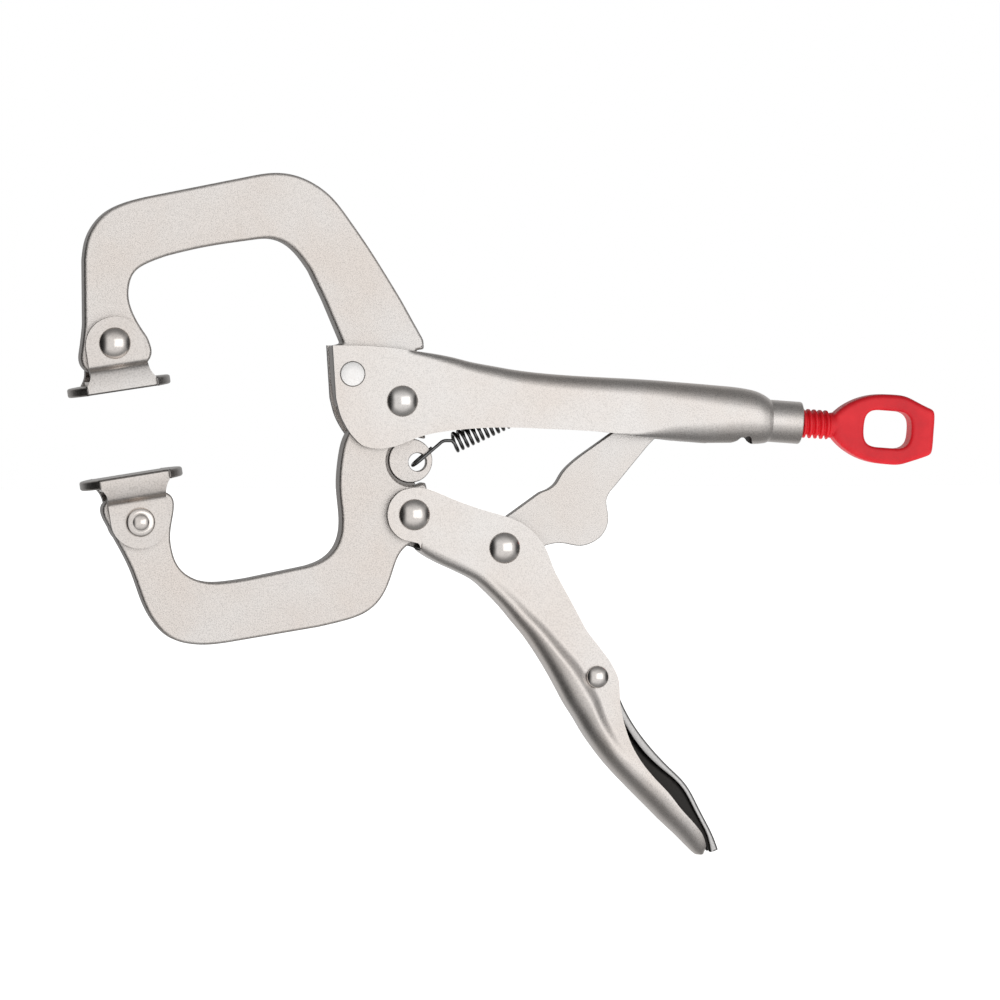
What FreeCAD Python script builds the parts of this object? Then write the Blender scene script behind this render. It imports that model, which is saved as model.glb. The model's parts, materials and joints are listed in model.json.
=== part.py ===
import FreeCAD, Part
import Sketcher
import math
import os

Vector = FreeCAD.Vector

# Locking C clamp, millimetres. The frame stands upright: the plate arms lie in the XZ plane, +X runs back along
# the handles to the adjusting screw, +Z is up, and the hinge axes run along Y. The origin is the centre of the
# fixed upper pad's contact face.

doc = FreeCAD.newDocument("locking_c_clamp")
sheet = doc.addObject("Spreadsheet::Sheet", "Sizes")

SIZES = {
    # sheet and plate stock
    "arm_thick": 6.0,
    "link_thick": 3.0,
    "metal": 1.6,
    "channel_width": 9.4,
    "plain_gap": 0.1,
    "pin_gap": 0.05,
    # pivots, as X and Z in the frame
    "fix_x": 45.9, "fix_z": 3.3,
    "jaw_x": 55.9, "jaw_z": -2.1,
    "lever_x": 58.3, "lever_z": -24.7,
    "link_x": 76.5, "link_z": -31.4,
    "release_x": 95.3, "release_z": -57.3,
    "eye_x": 59.5, "eye_z": -14.3,
    "boss_x": 58.1, "boss_z": -14.0,
    "seat_x": 118.5, "seat_z": -6.3,
    "anchor_x": 89.0, "anchor_z": -0.7,
    "upper_pad_tilt": 8.5,
    "lower_pad_x": 3.6, "lower_pad_z": -25.9, "lower_pad_tilt": 8.9,
    # rivets
    "shank_radius": 2.2,
    "dome_radius": 3.1, "dome_rise": 1.5,
    "flush_radius": 2.4, "flush_rise": 0.12,
    "release_shank": 1.4, "release_dome": 2.2, "release_rise": 1.1,
    "pad_shank": 1.9, "lower_dome": 2.9,
    # arms and link
    "hub_radius": 5.8,
    "lever_hub": 5.3,
    "boss_radius": 4.5, "boss_web": 2.4,
    "eye_radius": 1.85,
    "link_hub": 4.4,
    "seat_radius": 3.0,
    # pads
    "disc_radius": 10.3, "disc_thick": 1.8, "pad_reach": 9.5,
    "ear_thick": 1.5, "ear_half": 6.0, "saddle_base": 0.8, "foot_half": 6.8, "notch_half": 5.95,
    # adjusting screw, along its own axis from the sleeve's mouth
    "screw_x": 137.8, "screw_z": -6.7, "screw_slope": 4.2,
    "sleeve_radius": 4.25, "sleeve_reach": 8.0, "screw_reach": 12.0,
    "thread_radius": 2.95, "thread_pitch": 1.2, "thread_depth": 0.55,
    "ring_thick": 5.4,
    # spring
    "wire_radius": 0.27, "coil_radius": 1.85, "coil_turns": 15, "coil_pitch": 1.3, "coil_slope": 24.5,
    "coil_x": 67.6, "coil_z": -10.7,
    "anchor_radius": 0.8,
    # release lever
    "strip_thick": 1.3, "strip_width": 5.6, "release_hub": 2.7,
}
for row, (name, value) in enumerate(SIZES.items(), start=1):
    sheet.set("A%d" % row, name)
    sheet.set("B%d" % row, repr(value))
    sheet.setAlias("B%d" % row, name)
doc.recompute()


def size(alias):
    return float(sheet.get(alias))


def spot(alias):
    """The XZ place of a pivot."""
    return Vector(size(alias + "_x"), size(alias + "_z"), 0)


def around(centre, radius, degrees):
    """A point on a circle, in a sketch's own plane."""
    angle = math.radians(degrees)
    return Vector(centre.x + radius * math.cos(angle), centre.y + radius * math.sin(angle), 0)


def flat(points):
    return [p if isinstance(p, Vector) else Vector(p[0], p[1], 0) for p in points]


def line(*points):
    """Straight edges through the points."""
    points = flat(points)
    return [Part.LineSegment(a, b) for a, b in zip(points, points[1:])]


def arc(start, middle, end):
    return [Part.Arc(*flat((start, middle, end)))]


def curve(*points):
    """One smooth curve through the points."""
    spline = Part.BSplineCurve()
    spline.interpolate(flat(points))
    return [spline]


def new_body(label):
    body = doc.addObject("PartDesign::Body", label + "_body")
    body.Label = label
    return body


def new_sketch(body, name, role, edges):
    sketch = body.newObject("Sketcher::SketchObject", name)
    plane = [f for f in body.Origin.OriginFeatures if f.Role == role][0]
    sketch.AttachmentSupport = [(plane, "")]
    sketch.MapMode = "FlatFace"
    for edge in edges:
        sketch.addGeometry(edge, False)
    return sketch


def bored_circle(sketch, radius, place):
    """A circle whose radius and centre are bound to the sheet."""
    centre = spot(place)
    index = sketch.addGeometry(Part.Circle(centre, Vector(0, 0, 1), size(radius) + size("pin_gap")), False)
    rules = (
        ("Radius", (index, size(radius) + size("pin_gap")), "Sizes.%s + Sizes.pin_gap" % radius),
        ("DistanceX", (-1, 1, index, 3, centre.x), "Sizes.%s_x" % place),
        ("DistanceY", (-1, 1, index, 3, centre.y), "Sizes.%s_z" % place),
    )
    for kind, values, expression in rules:
        number = sketch.addConstraint(Sketcher.Constraint(kind, *values))
        sketch.setExpression("Constraints[%d]" % number, expression)


def pad_of(body, sketch, thickness):
    pad = body.newObject("PartDesign::Pad", sketch.Name + "_pad")
    pad.Profile = sketch
    pad.SideType = "Symmetric"
    pad.setExpression("Length", thickness)
    body.Tip = pad
    return pad


def cut_of(body, sketch, thickness):
    """A pocket through both sides of the sketch's plane."""
    pocket = body.newObject("PartDesign::Pocket", sketch.Name + "_pocket")
    pocket.Profile = sketch
    pocket.SideType = "Symmetric"
    pocket.setExpression("Length", thickness)
    body.Tip = pocket
    return pocket


def solid(label, shape):
    """A sub-part or a tool whose shape is made by Part's own functions."""
    feature = doc.addObject("Part::Feature", label + "_shape")
    feature.Label = label
    feature.Shape = shape
    return feature


def boolean(kind, label, base, tool):
    joined = doc.addObject("Part::" + kind, label + "_" + kind.lower())
    joined.Label = label
    joined.Base = base
    joined.Tool = tool
    return joined


# ---------------------------------------------------------------- arms

def upper_arm():
    jaw = spot("jaw")
    clear = size("hub_radius") + 0.5
    edges = line((60.6, 8.2), (60.5, 10.0), (56.0, 18.0))
    edges += curve((56.0, 18.0), (49.8, 27.9), (45.7, 33.8), (42.6, 37.8), (39.4, 40.5), (35.2, 42.5),
                   (30.4, 43.1), (25.1, 42.3))
    edges += line((25.1, 42.3), (5.2, 38.3))
    edges += curve((5.2, 38.3), (1.2, 37.2), (-2.7, 35.3), (-5.2, 32.7), (-6.7, 29.6), (-7.3, 25.8))
    edges += line((-7.3, 25.8), (-7.2, 13.0))
    edges += curve((-7.2, 13.0), (-7.7, 8.6), (-7.95, 6.4), (-7.5, 4.8), (-6.3, 3.6))
    edges += curve((-6.3, 3.6), (-1.4, 3.3), (4.0, 4.6), (5.9, 6.6), (6.1, 8.2), (5.3, 10.6))
    edges += curve((5.3, 10.6), (3.1, 14.0), (1.75, 17.4), (1.6, 20.2), (2.6, 23.2), (5.2, 25.1), (9.1, 26.6))
    edges += curve((9.1, 26.6), (17.1, 28.45), (26.0, 29.8), (30.0, 30.1), (33.0, 29.1), (35.6, 26.8),
                   (37.8, 23.8))
    edges += line((37.8, 23.8), (40.6, 18.0), (44.3, 9.3), (42.1, 8.8), (42.5, 2.0), (43.3, -3.4))
    edges += line((43.3, -3.4), (46.2, -2.9), around(jaw, clear, 163))
    edges += arc(around(jaw, clear, 163), around(jaw, clear, 110), around(jaw, clear, 60))
    edges += line(around(jaw, clear, 60), (59.0, 8.0), (60.6, 8.2))
    body = new_body("upper_arm")
    sketch = new_sketch(body, "upper_arm_outline", "XZ_Plane", edges)
    bored_circle(sketch, "shank_radius", "fix")
    bored_circle(sketch, "pad_shank", "upper_pad")
    pad_of(body, sketch, "Sizes.arm_thick")
    return body


def lower_arm():
    jaw = spot("jaw")
    lever = spot("lever")
    boss = spot("boss")
    hub = size("hub_radius")
    small_hub = size("lever_hub")
    lobe = size("boss_radius")
    edges = arc(around(jaw, hub, -40), around(jaw, hub, 80), around(jaw, hub, 205))
    edges += curve(around(jaw, hub, 205), (47.6, -5.9), (45.2, -8.8), (44.2, -11.9), (43.6, -16.5),
                   (43.6, -20.5), (44.0, -24.5), (43.9, -28.2), (42.7, -31.4), (40.2, -33.7), (37.1, -34.9))
    edges += line((37.1, -34.9), (25.1, -37.3))
    edges += curve((25.1, -37.3), (19.1, -38.0), (15.6, -37.6), (12.6, -36.1), (10.8, -33.8), (10.0, -31.2),
                   (9.75, -28.4), (10.3, -24.6), (10.4, -21.6), (9.2, -20.2), (6.0, -19.9))
    edges += line((6.0, -19.9), (-1.6, -21.1))
    edges += curve((-1.6, -21.1), (-3.2, -22.2), (-3.7, -23.7), (-3.1, -25.6))
    edges += line((-3.1, -25.6), (0.2, -31.5))
    edges += curve((0.2, -31.5), (2.2, -35.6), (4.0, -40.6), (5.5, -44.0), (7.7, -47.1), (10.4, -49.2),
                   (13.6, -50.1), (17.1, -50.3), (21.1, -49.9))
    edges += line((21.1, -49.9), (39.1, -47.0))
    edges += curve((39.1, -47.0), (45.1, -45.6), (48.7, -44.2), (51.2, -42.2), (53.0, -39.4), (54.2, -36.2),
                   (55.2, -33.4), (56.8, -31.2), around(lever, small_hub, -78))
    edges += arc(around(lever, small_hub, -78), around(lever, small_hub, 0), around(lever, small_hub, 55))
    edges += curve(around(lever, small_hub, 55), (60.7, -19.0), around(boss, lobe, -52))
    edges += arc(around(boss, lobe, -52), around(boss, lobe, 0), around(boss, lobe, 52))
    edges += curve(around(boss, lobe, 52), (60.2, -8.4), around(jaw, hub, -40))
    body = new_body("lower_arm_plate")
    sketch = new_sketch(body, "lower_arm_outline", "XZ_Plane", edges)
    for radius, place in (("shank_radius", "jaw"), ("shank_radius", "lever"), ("eye_radius", "eye"),
                          ("pad_shank", "lower_pad")):
        bored_circle(sketch, radius, place)
    pad_of(body, sketch, "Sizes.arm_thick")
    # the eye for the spring is spot-faced from both sides down to a thin web
    face_depth = (size("arm_thick") - size("boss_web")) / 2
    for side in (-1, 1):
        tool = doc.addObject("Part::Cone", "spot_face")
        tool.setExpression("Radius1", "Sizes.boss_radius + 0.1")
        tool.setExpression("Radius2", "Sizes.boss_radius + 0.3")
        tool.Height = face_depth + 0.1
        tool.Placement = FreeCAD.Placement(
            Vector(boss.x, side * size("boss_web") / 2, boss.y),
            FreeCAD.Rotation(Vector(1, 0, 0), -90 * side))
        body = boolean("Cut", "arm_with_spot_face", body, tool)
    body.Label = "lower_arm"
    return body


def toggle_link():
    link = spot("link")
    seat = spot("seat")
    hub = size("link_hub")
    end = size("seat_radius")
    edges = arc(around(link, hub, -65), around(link, hub, -165), around(link, hub, 127))
    edges += line(around(link, hub, 127), (84.4, -20.4))
    edges += curve((84.4, -20.4), (86.4, -19.6), (87.7, -18.4), (88.5, -17.0), (90.0, -15.2), (92.4, -13.2))
    edges += line((92.4, -13.2), (102.6, -6.1))
    edges += curve((102.6, -6.1), (106.5, -4.0), (111.5, -3.1), around(seat, end, 95))
    edges += arc(around(seat, end, 95), around(seat, end, 0), around(seat, end, -95))
    edges += curve(around(seat, end, -95), (112.6, -9.1), (109.0, -9.0), (106.2, -11.2))
    edges += line((106.2, -11.2), (98.6, -20.3))
    edges += curve((98.6, -20.3), (97.8, -22.0), (98.1, -24.6), (98.05, -26.9), (96.9, -29.1), (94.8, -30.6),
                   (92.2, -31.2), (89.4, -30.7), (86.0, -30.9), (82.8, -32.4))
    edges += line((82.8, -32.4), around(link, hub, -65))
    body = new_body("toggle_link")
    sketch = new_sketch(body, "link_outline", "XZ_Plane", edges)
    bored_circle(sketch, "shank_radius", "link")
    pad_of(body, sketch, "Sizes.link_thick")
    return body


# ---------------------------------------------------------------- pressed channels

def section(low, high, half, low_round, high_round):
    """A rounded rectangle across Y, from the point low to the point high in the XZ plane."""
    low = Vector(low[0], 0, low[1])
    high = Vector(high[0], 0, high[1])
    up = high - low
    tall = up.Length
    up.normalize()
    side = Vector(0, 1, 0)

    def at(y, rise):
        return low + side * y + up * rise

    def corner(y, rise, turn, rounding):
        """The arc round one corner; turn gives the way from the corner to its arc's centre."""
        centre = at(y + turn[0] * rounding, rise + turn[1] * rounding)
        reach = rounding * math.sqrt(0.5)
        return centre - side * turn[0] * reach - up * turn[1] * reach

    a, b = low_round, high_round
    edges = [
        Part.LineSegment(at(-half + a, 0), at(half - a, 0)).toShape(),
        Part.Arc(at(half - a, 0), corner(half, 0, (-1, 1), a), at(half, a)).toShape(),
        Part.LineSegment(at(half, a), at(half, tall - b)).toShape(),
        Part.Arc(at(half, tall - b), corner(half, tall, (-1, -1), b), at(half - b, tall)).toShape(),
        Part.LineSegment(at(half - b, tall), at(-half + b, tall)).toShape(),
        Part.Arc(at(-half + b, tall), corner(-half, tall, (1, -1), b), at(-half, tall - b)).toShape(),
        Part.LineSegment(at(-half, tall - b), at(-half, a)).toShape(),
        Part.Arc(at(-half, a), corner(-half, 0, (1, 1), a), at(-half + a, 0)).toShape(),
    ]
    return Part.Wire(edges)


def towards(start, end, distance):
    """The point a distance from start on the way to end."""
    length = math.hypot(end[0] - start[0], end[1] - start[1])
    share = distance / length
    return (start[0] + share * (end[0] - start[0]), start[1] + share * (end[1] - start[1]))


def cheeks(label, edges, inner_width):
    """Two flat cheeks: a padded outline with the space between them taken out."""
    body = new_body(label)
    sketch = new_sketch(body, label + "_outline", "XZ_Plane", edges)
    pad_of(body, sketch, "Sizes.channel_width")
    again = new_sketch(body, label + "_space", "XZ_Plane", edges)
    cut_of(body, again, inner_width)
    return body


# X, top, bottom, half width, spine rounding, lower rounding of the upper handle's sections
HANDLE_SECTIONS = (
    (59.3, 7.7, -9.2, 4.7, 2.0, 0.3),
    (67.0, 6.45, -7.9, 4.7, 2.3, 0.3),
    (76.0, 4.5, -7.4, 4.7, 2.5, 0.3),
    (86.0, 3.2, -7.75, 4.7, 2.6, 0.3),
    (96.0, 2.7, -8.35, 4.7, 2.7, 0.3),
    (103.0, 2.3, -9.1, 4.7, 2.8, 0.8),
    (108.5, 1.95, -9.7, 4.8, 3.0, 2.2),
    (114.0, 1.45, -10.4, 4.95, 3.5, 3.6),
    (119.5, 1.0, -10.85, 5.1, 4.2, 4.4),
    (124.5, 0.45, -10.9, 5.15, 4.6, 4.7),
    (128.5, -0.5, -10.8, 4.95, 4.6, 4.7),
    (131.5, -1.8, -10.6, 4.4, 4.3, 4.3),
)


CAVITY_SECTIONS = 10
# forward of here the channel is open below; behind it the flanks close, but for the link's slot
OPEN_UNTIL = 104.0
SLOT_START, SLOT_LENGTH, SLOT_HALF = 99.0, 27.5, 2.0


def handle_solid(sections, wall):
    """The loft through the handle's sections, drawn in by wall; open ones run out below the flanks."""
    wires = []
    for x, top, bottom, half, upper, lower in sections:
        low = bottom + wall if x > OPEN_UNTIL or wall == 0 else bottom - 4
        wires.append(section((x, low), (x, top - wall), half - wall,
                             max(lower - wall, 0.25), max(upper - wall, 0.4)))
    return Part.makeLoft(wires, True, False)


def upper_handle():
    front = curve((42.0, 8.9), (48.8, 8.85), (55.6, 8.25), (59.6, 7.7))
    front += line((59.6, 7.7), (64.0, 6.9), (64.0, -8.4), (59.0, -9.3))
    front += curve((59.0, -9.3), (55.9, -10.45), (53.0, -11.4), (50.2, -11.5), (48.0, -10.9), (46.2, -9.4),
                   (44.6, -7.2), (43.5, -4.7), (42.8, -1.6), (42.3, 2.6), (42.0, 8.9))
    cheek = cheeks("handle_cheeks", front, "Sizes.arm_thick + 2 * Sizes.plain_gap")
    shell = handle_solid(HANDLE_SECTIONS, 0)
    inside = handle_solid(HANDLE_SECTIONS[:CAVITY_SECTIONS], size("metal"))
    # the link swings out through a slot in the closed rear of the channel
    slot = Part.makeBox(SLOT_LENGTH, 2 * SLOT_HALF, 10.0, Vector(SLOT_START, -SLOT_HALF, -16.5))
    joined = boolean("Fuse", "handle_joined", cheek, solid("handle_channel", shell.cut(inside).cut(slot)))
    tube = axial_cylinder("handle_tube", "Sizes.sleeve_radius", -size("sleeve_reach"), "Sizes.sleeve_reach")
    joined = boolean("Fuse", "handle_with_tube", joined, tube)
    bore = axial_cylinder("screw_bore", "Sizes.thread_radius + Sizes.pin_gap", -size("screw_reach") - 4.0, "30")
    joined = boolean("Cut", "handle_bored", joined, bore)
    for place in ("fix", "jaw"):
        drill = cross_drill("handle_%s_hole" % place, place, "shank_radius")
        joined = boolean("Cut", "handle_drilled", joined, drill)
    joined.Label = "upper_handle"
    return joined


def screw_placement(distance):
    """A place on the screw's axis, turned so that local X runs out along the axis."""
    angle = math.radians(size("screw_slope"))
    at = Vector(size("screw_x") + distance * math.cos(angle), 0, size("screw_z") - distance * math.sin(angle))
    return FreeCAD.Placement(at, FreeCAD.Rotation(Vector(0, 1, 0), size("screw_slope")))


def axial_cylinder(name, radius, start, length):
    """A cylinder along the screw's axis; start counts from the tube's mouth."""
    cylinder = doc.addObject("Part::Cylinder", name)
    cylinder.setExpression("Radius", radius)
    cylinder.setExpression("Height", length)
    place = screw_placement(start)
    quarter = FreeCAD.Rotation(Vector(0, 1, 0), 90)
    cylinder.Placement = FreeCAD.Placement(place.Base, place.Rotation.multiply(quarter))
    return cylinder


# spine point, mouth point, half width and spine rounding of the lever's sections, front to tail
LEVER_SECTIONS = (
    ((60.0, -32.2), (64.6, -21.0), 4.7, 2.2),
    ((67.3, -36.2), (72.9, -24.1), 4.7, 2.4),
    ((74.0, -40.8), (80.6, -27.6), 4.7, 2.5),
    ((79.0, -46.3), (86.3, -35.6), 4.7, 2.6),
    ((83.6, -52.6), (90.4, -43.0), 4.7, 2.8),
    ((87.7, -59.4), (94.9, -50.6), 4.9, 3.3),
    ((91.3, -65.6), (99.6, -58.2), 5.3, 4.2),
    ((95.2, -71.6), (100.7, -66.0), 5.7, 5.0),
    ((100.1, -77.6), (104.0, -73.8), 6.0, 4.6),
    ((105.9, -83.5), (109.4, -80.3), 5.9, 4.0),
    ((111.2, -88.7), (114.0, -86.0), 5.3, 3.2),
    ((115.9, -93.0), (117.6, -91.4), 4.0, 1.9),
)
TROUGH_SECTIONS = 11


def lever_handle():
    metal = size("metal")
    outer = []
    inner = []
    for number, (spine, mouth, half, rounding) in enumerate(LEVER_SECTIONS):
        outer.append(section(spine, mouth, half, rounding, 0.3))
        wall = min(metal, 0.45 * math.hypot(mouth[0] - spine[0], mouth[1] - spine[1]))
        beyond = towards(mouth, spine, -3.0)
        if number < TROUGH_SECTIONS:
            inner.append(section(towards(spine, mouth, wall), beyond, half - metal,
                                 max(rounding - metal, 0.5), 0.3))
    shell = Part.makeLoft(outer, True, False).cut(Part.makeLoft(inner, True, False))
    lever = spot("lever")
    reach = 5.4
    front = [Part.Arc(around(lever, reach, 70), around(lever, reach, 170), around(lever, reach, -110))]
    front += line(around(lever, reach, -110), (59.6, -31.0), (66.0, -33.5), (69.5, -23.0),
                  (63.5, -20.3), around(lever, reach, 70))
    cheek = cheeks("lever_cheeks", front, "Sizes.arm_thick + 2 * Sizes.plain_gap")
    joined = boolean("Fuse", "lever_joined", cheek, solid("lever_channel", shell))
    for place, radius in (("lever", "shank_radius"), ("link", "shank_radius"), ("release", "release_shank")):
        drill = cross_drill("lever_%s_hole" % place, place, radius)
        joined = boolean("Cut", "lever_drilled", joined, drill)
    joined.Label = "lever_handle"
    return joined


def cross_drill(name, place, radius):
    """A cylinder along Y through a pivot, a pin's clearance over its shank."""
    drill = doc.addObject("Part::Cylinder", name)
    drill.setExpression("Radius", "Sizes.%s + Sizes.pin_gap" % radius)
    drill.Height = 30
    drill.Placement = FreeCAD.Placement(Vector(0, -15, 0), FreeCAD.Rotation(Vector(1, 0, 0), -90))
    drill.setExpression("Placement.Base.x", "Sizes.%s_x" % place)
    drill.setExpression("Placement.Base.z", "Sizes.%s_z" % place)
    return drill


def release_lever():
    """A bent strip on the rivet: its nose lies under the link's lobe, its tail beside the grip."""
    hub_at = spot("release")
    half = size("strip_thick") / 2
    middle = ((87.6, -47.2), (91.6, -50.2), (95.3, -52.6), (98.0, -56.6), (99.5, -61.0), (101.6, -65.6),
              (105.0, -70.6), (109.9, -76.0), (113.5, -79.7), (116.1, -84.4), (118.6, -89.2), (119.7, -92.3))
    sides = ([], [])
    for number, point in enumerate(middle):
        before = middle[max(number - 1, 0)]
        after = middle[min(number + 1, len(middle) - 1)]
        along = Vector(after[0] - before[0], after[1] - before[1], 0)
        along.normalize()
        for side, sign in zip(sides, (1, -1)):
            side.append(Vector(point[0] - sign * half * along.y, point[1] + sign * half * along.x, 0))
    edges = curve(*sides[0]) + line(sides[0][-1], sides[1][-1])
    edges += curve(*reversed(sides[1])) + line(sides[1][0], sides[0][0])
    body = new_body("release_strip")
    sketch = new_sketch(body, "release_outline", "XZ_Plane", edges)
    pad_of(body, sketch, "Sizes.strip_width")
    hub = doc.addObject("Part::Cylinder", "release_hub")
    hub.setExpression("Radius", "Sizes.release_hub")
    hub.setExpression("Height", "Sizes.strip_width")
    hub.Placement = FreeCAD.Placement(
        Vector(hub_at.x, -size("strip_width") / 2, hub_at.y), FreeCAD.Rotation(Vector(1, 0, 0), -90))
    joined = boolean("Fuse", "release_joined", body, hub)
    return boolean("Cut", "release_lever", joined, cross_drill("release_bore", "release", "release_shank"))


# ---------------------------------------------------------------- rivets

def rivet(label, place, shank, head, rise, stack):
    """A rivet along Y: the shank through a stack of this whole width, with a low dome at each end."""
    half = stack / 2
    dome = size(rise)
    wide = size(head)
    thin = size(shank)
    # each head is a cap of one sphere; its arc's middle point is found from that sphere
    sphere = (wide ** 2 + dome ** 2) / (2 * dome)
    turn = math.asin(wide / sphere) / 2
    over = sphere * math.sin(turn)
    up = half + dome - sphere * (1 - math.cos(turn))
    edges = arc((0, half + dome), (over, up), (wide, half))
    edges += line((wide, half), (thin, half), (thin, -half), (wide, -half))
    edges += arc((0, -half - dome), (over, -up), (wide, -half))
    edges += line((0, -half - dome), (0, half + dome))
    body = new_body(label)
    sketch = new_sketch(body, label + "_profile", "XY_Plane", edges)
    turned = body.newObject("PartDesign::Revolution", label + "_turned")
    turned.Profile = sketch
    turned.ReferenceAxis = (sketch, ["V_Axis"])
    turned.Angle = 360
    body.Tip = turned
    body.setExpression("Placement.Base.x", "Sizes.%s_x" % place)
    body.setExpression("Placement.Base.z", "Sizes.%s_z" % place)
    return body


# ---------------------------------------------------------------- swivel pads

def pad_placed(piece, place, turn):
    piece.Placement = FreeCAD.Placement(spot_3d(place), FreeCAD.Rotation(Vector(0, 1, 0), turn))
    piece.setExpression("Placement.Base.x", "Sizes.%s_x" % place)
    piece.setExpression("Placement.Base.z", "Sizes.%s_z" % place)
    return piece


def spot_3d(place):
    return Vector(size(place + "_x"), 0, size(place + "_z"))


def pad_disc(label, place, turn):
    """The round plate, notched on two sides where the saddle's feet come over its edge."""
    thick = size("disc_thick")
    face = -size("pad_reach")
    disc = doc.addObject("Part::Cylinder", label + "_plate")
    disc.setExpression("Radius", "Sizes.disc_radius")
    disc.setExpression("Height", "Sizes.disc_thick")
    disc.Placement.Base = Vector(0, 0, face)
    rounded = doc.addObject("Part::Fillet", label + "_rounded")
    rounded.Base = disc
    doc.recompute()
    rims = [n for n, edge in enumerate(disc.Shape.Edges, start=1) if isinstance(edge.Curve, Part.Circle)]
    rounded.Edges = [(n, 0.5, 0.5) for n in rims]
    piece = rounded
    for side in (-1, 1):
        notch = doc.addObject("Part::Box", label + "_notch")
        notch.setExpression("Length", "2 * Sizes.foot_half")
        notch.Width = 6
        notch.Height = thick + 2
        near = size("notch_half")
        notch.Placement.Base = Vector(-size("foot_half"), near if side > 0 else -near - 6, face - 1)
        piece = boolean("Cut", label + "_notched", piece, notch)
    piece.Label = label
    return pad_placed(piece, place, turn)


def pad_saddle(label, place, turn):
    """A bent strip: the base on the disc, feet over its two notches, and the two ears."""
    back = size("disc_thick") - size("pad_reach")
    base = back + size("saddle_base")
    half = size("ear_half")
    inner = size("arm_thick") / 2 + size("plain_gap")
    outer = inner + size("ear_thick")
    foot = size("foot_half")
    lip = size("notch_half") + 0.05
    crease = -5.8
    low = 0.3 - size("pad_reach")
    top = 6.0
    right = [(lip, back), (lip, low), (foot - 0.4, low), (foot, low + 0.5), (foot, back + 0.1),
             (outer + 0.5, crease - 0.4), (outer, crease + 0.4), (outer, top), (inner, top),
             (inner, base + 0.15), (inner - 0.15, base)]
    left = [(-y, z) for y, z in reversed(right)]
    bent = new_body(label + "_bent")
    sketch = new_sketch(bent, label + "_section", "YZ_Plane", line(*right, *left, right[0]))
    pad_of(bent, sketch, "2 * Sizes.foot_half")
    outline = line((foot, low - 1), (foot, back)) + curve((foot, back), (half + 0.15, crease - 0.6), (half, -4.0))
    outline += line((half, -4.0), (half, -0.6)) + arc((half, -0.6), (0, 5.2), (-half, -0.6))
    outline += line((-half, -0.6), (-half, -4.0)) + curve((-half, -4.0), (-half - 0.15, crease - 0.6), (-foot, back))
    outline += line((-foot, back), (-foot, low - 1), (foot, low - 1))
    ears = new_body(label + "_ears")
    pad_of(ears, new_sketch(ears, label + "_outline", "XZ_Plane", outline), "4 * Sizes.foot_half")
    saddle = boolean("Common", label + "_cut_out", bent, ears)
    bore = doc.addObject("Part::Cylinder", label + "_bore")
    bore.setExpression("Radius", "Sizes.pad_shank + Sizes.pin_gap")
    bore.Height = 30
    bore.Placement = FreeCAD.Placement(Vector(0, -15, 0), FreeCAD.Rotation(Vector(1, 0, 0), -90))
    piece = boolean("Cut", label, saddle, bore)
    return pad_placed(piece, place, turn)


# ---------------------------------------------------------------- adjusting screw

def eye_screw():
    """A threaded shank and a flat eye, along local X from the sleeve's mouth."""
    crest = size("thread_radius")
    root = crest - size("thread_depth")
    pitch = size("thread_pitch")
    start = -size("screw_reach")
    turns = 15
    profile = [(start, 0), (start, root)]
    for turn in range(turns):
        x = start + 0.15 + turn * pitch
        profile += [(x, root), (x + 0.38 * pitch, crest), (x + 0.62 * pitch, crest), (x + pitch, root)]
    profile += [(7.2, root), (9.0, 3.2), (12.0, 2.4), (12.0, 0), (start, 0)]
    points = [profile[0]]
    for point in profile[1:]:
        if point != points[-1]:
            points.append(point)
    shank = new_body("screw_shank")
    sketch = new_sketch(shank, "shank_profile", "XY_Plane", line(*points))
    turned = shank.newObject("PartDesign::Revolution", "shank_turned")
    turned.Profile = sketch
    turned.ReferenceAxis = (sketch, ["H_Axis"])
    turned.Angle = 360
    shank.Tip = turned

    eye = new_body("screw_eye")
    upper = curve((6.6, 2.3), (8.0, 3.7), (10.3, 5.2), (12.9, 6.35), (15.6, 6.95), (18.5, 7.1), (20.8, 6.95),
                  (22.6, 6.3), (24.8, 5.45), (27.0, 4.75))
    lower = curve((27.0, -4.75), (24.8, -5.45), (22.6, -6.3), (20.8, -6.95), (18.5, -7.1), (15.6, -6.95),
                  (12.9, -6.35), (10.3, -5.2), (8.0, -3.7), (6.6, -2.3))
    outline = upper + curve((27.0, 4.75), (27.6, 4.3), (27.9, 0.0), (27.6, -4.3), (27.0, -4.75)) + lower
    outline += line((6.6, -2.3), (6.6, 2.3))
    sketch = new_sketch(eye, "eye_outline", "XZ_Plane", outline)
    pad = pad_of(eye, sketch, "Sizes.ring_thick")
    doc.recompute()
    window = line((15.6, 3.7), (20.0, 3.7)) + arc((20.0, 3.7), (21.85, 2.5), (22.6, 0.6))
    window += line((22.6, 0.6), (22.6, -0.6)) + arc((22.6, -0.6), (21.85, -2.5), (20.0, -3.7))
    window += line((20.0, -3.7), (15.6, -3.7)) + arc((15.6, -3.7), (13.55, -2.5), (12.8, -0.6))
    window += line((12.8, -0.6), (12.8, 0.6)) + arc((12.8, 0.6), (13.55, 2.5), (15.6, 3.7))
    cut_of(eye, new_sketch(eye, "eye_window", "XZ_Plane", window), "3 * Sizes.ring_thick")
    joined = boolean("Fuse", "eye_screw", shank, eye)
    joined.Placement = screw_placement(0)
    return joined


def screw_tip():
    """The plain inner end of the screw, which the toggle link bears on."""
    reach = size("screw_reach")
    tip = axial_cylinder("screw_tip_end", "Sizes.thread_radius - Sizes.thread_depth", -reach - 2.3, "2.25")
    tip.Label = "screw_tip"
    return tip


# ---------------------------------------------------------------- spring and its anchor

def round_bar(start, end, radius):
    direction = end - start
    return Part.makeCylinder(radius, direction.Length, start, direction)


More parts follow.
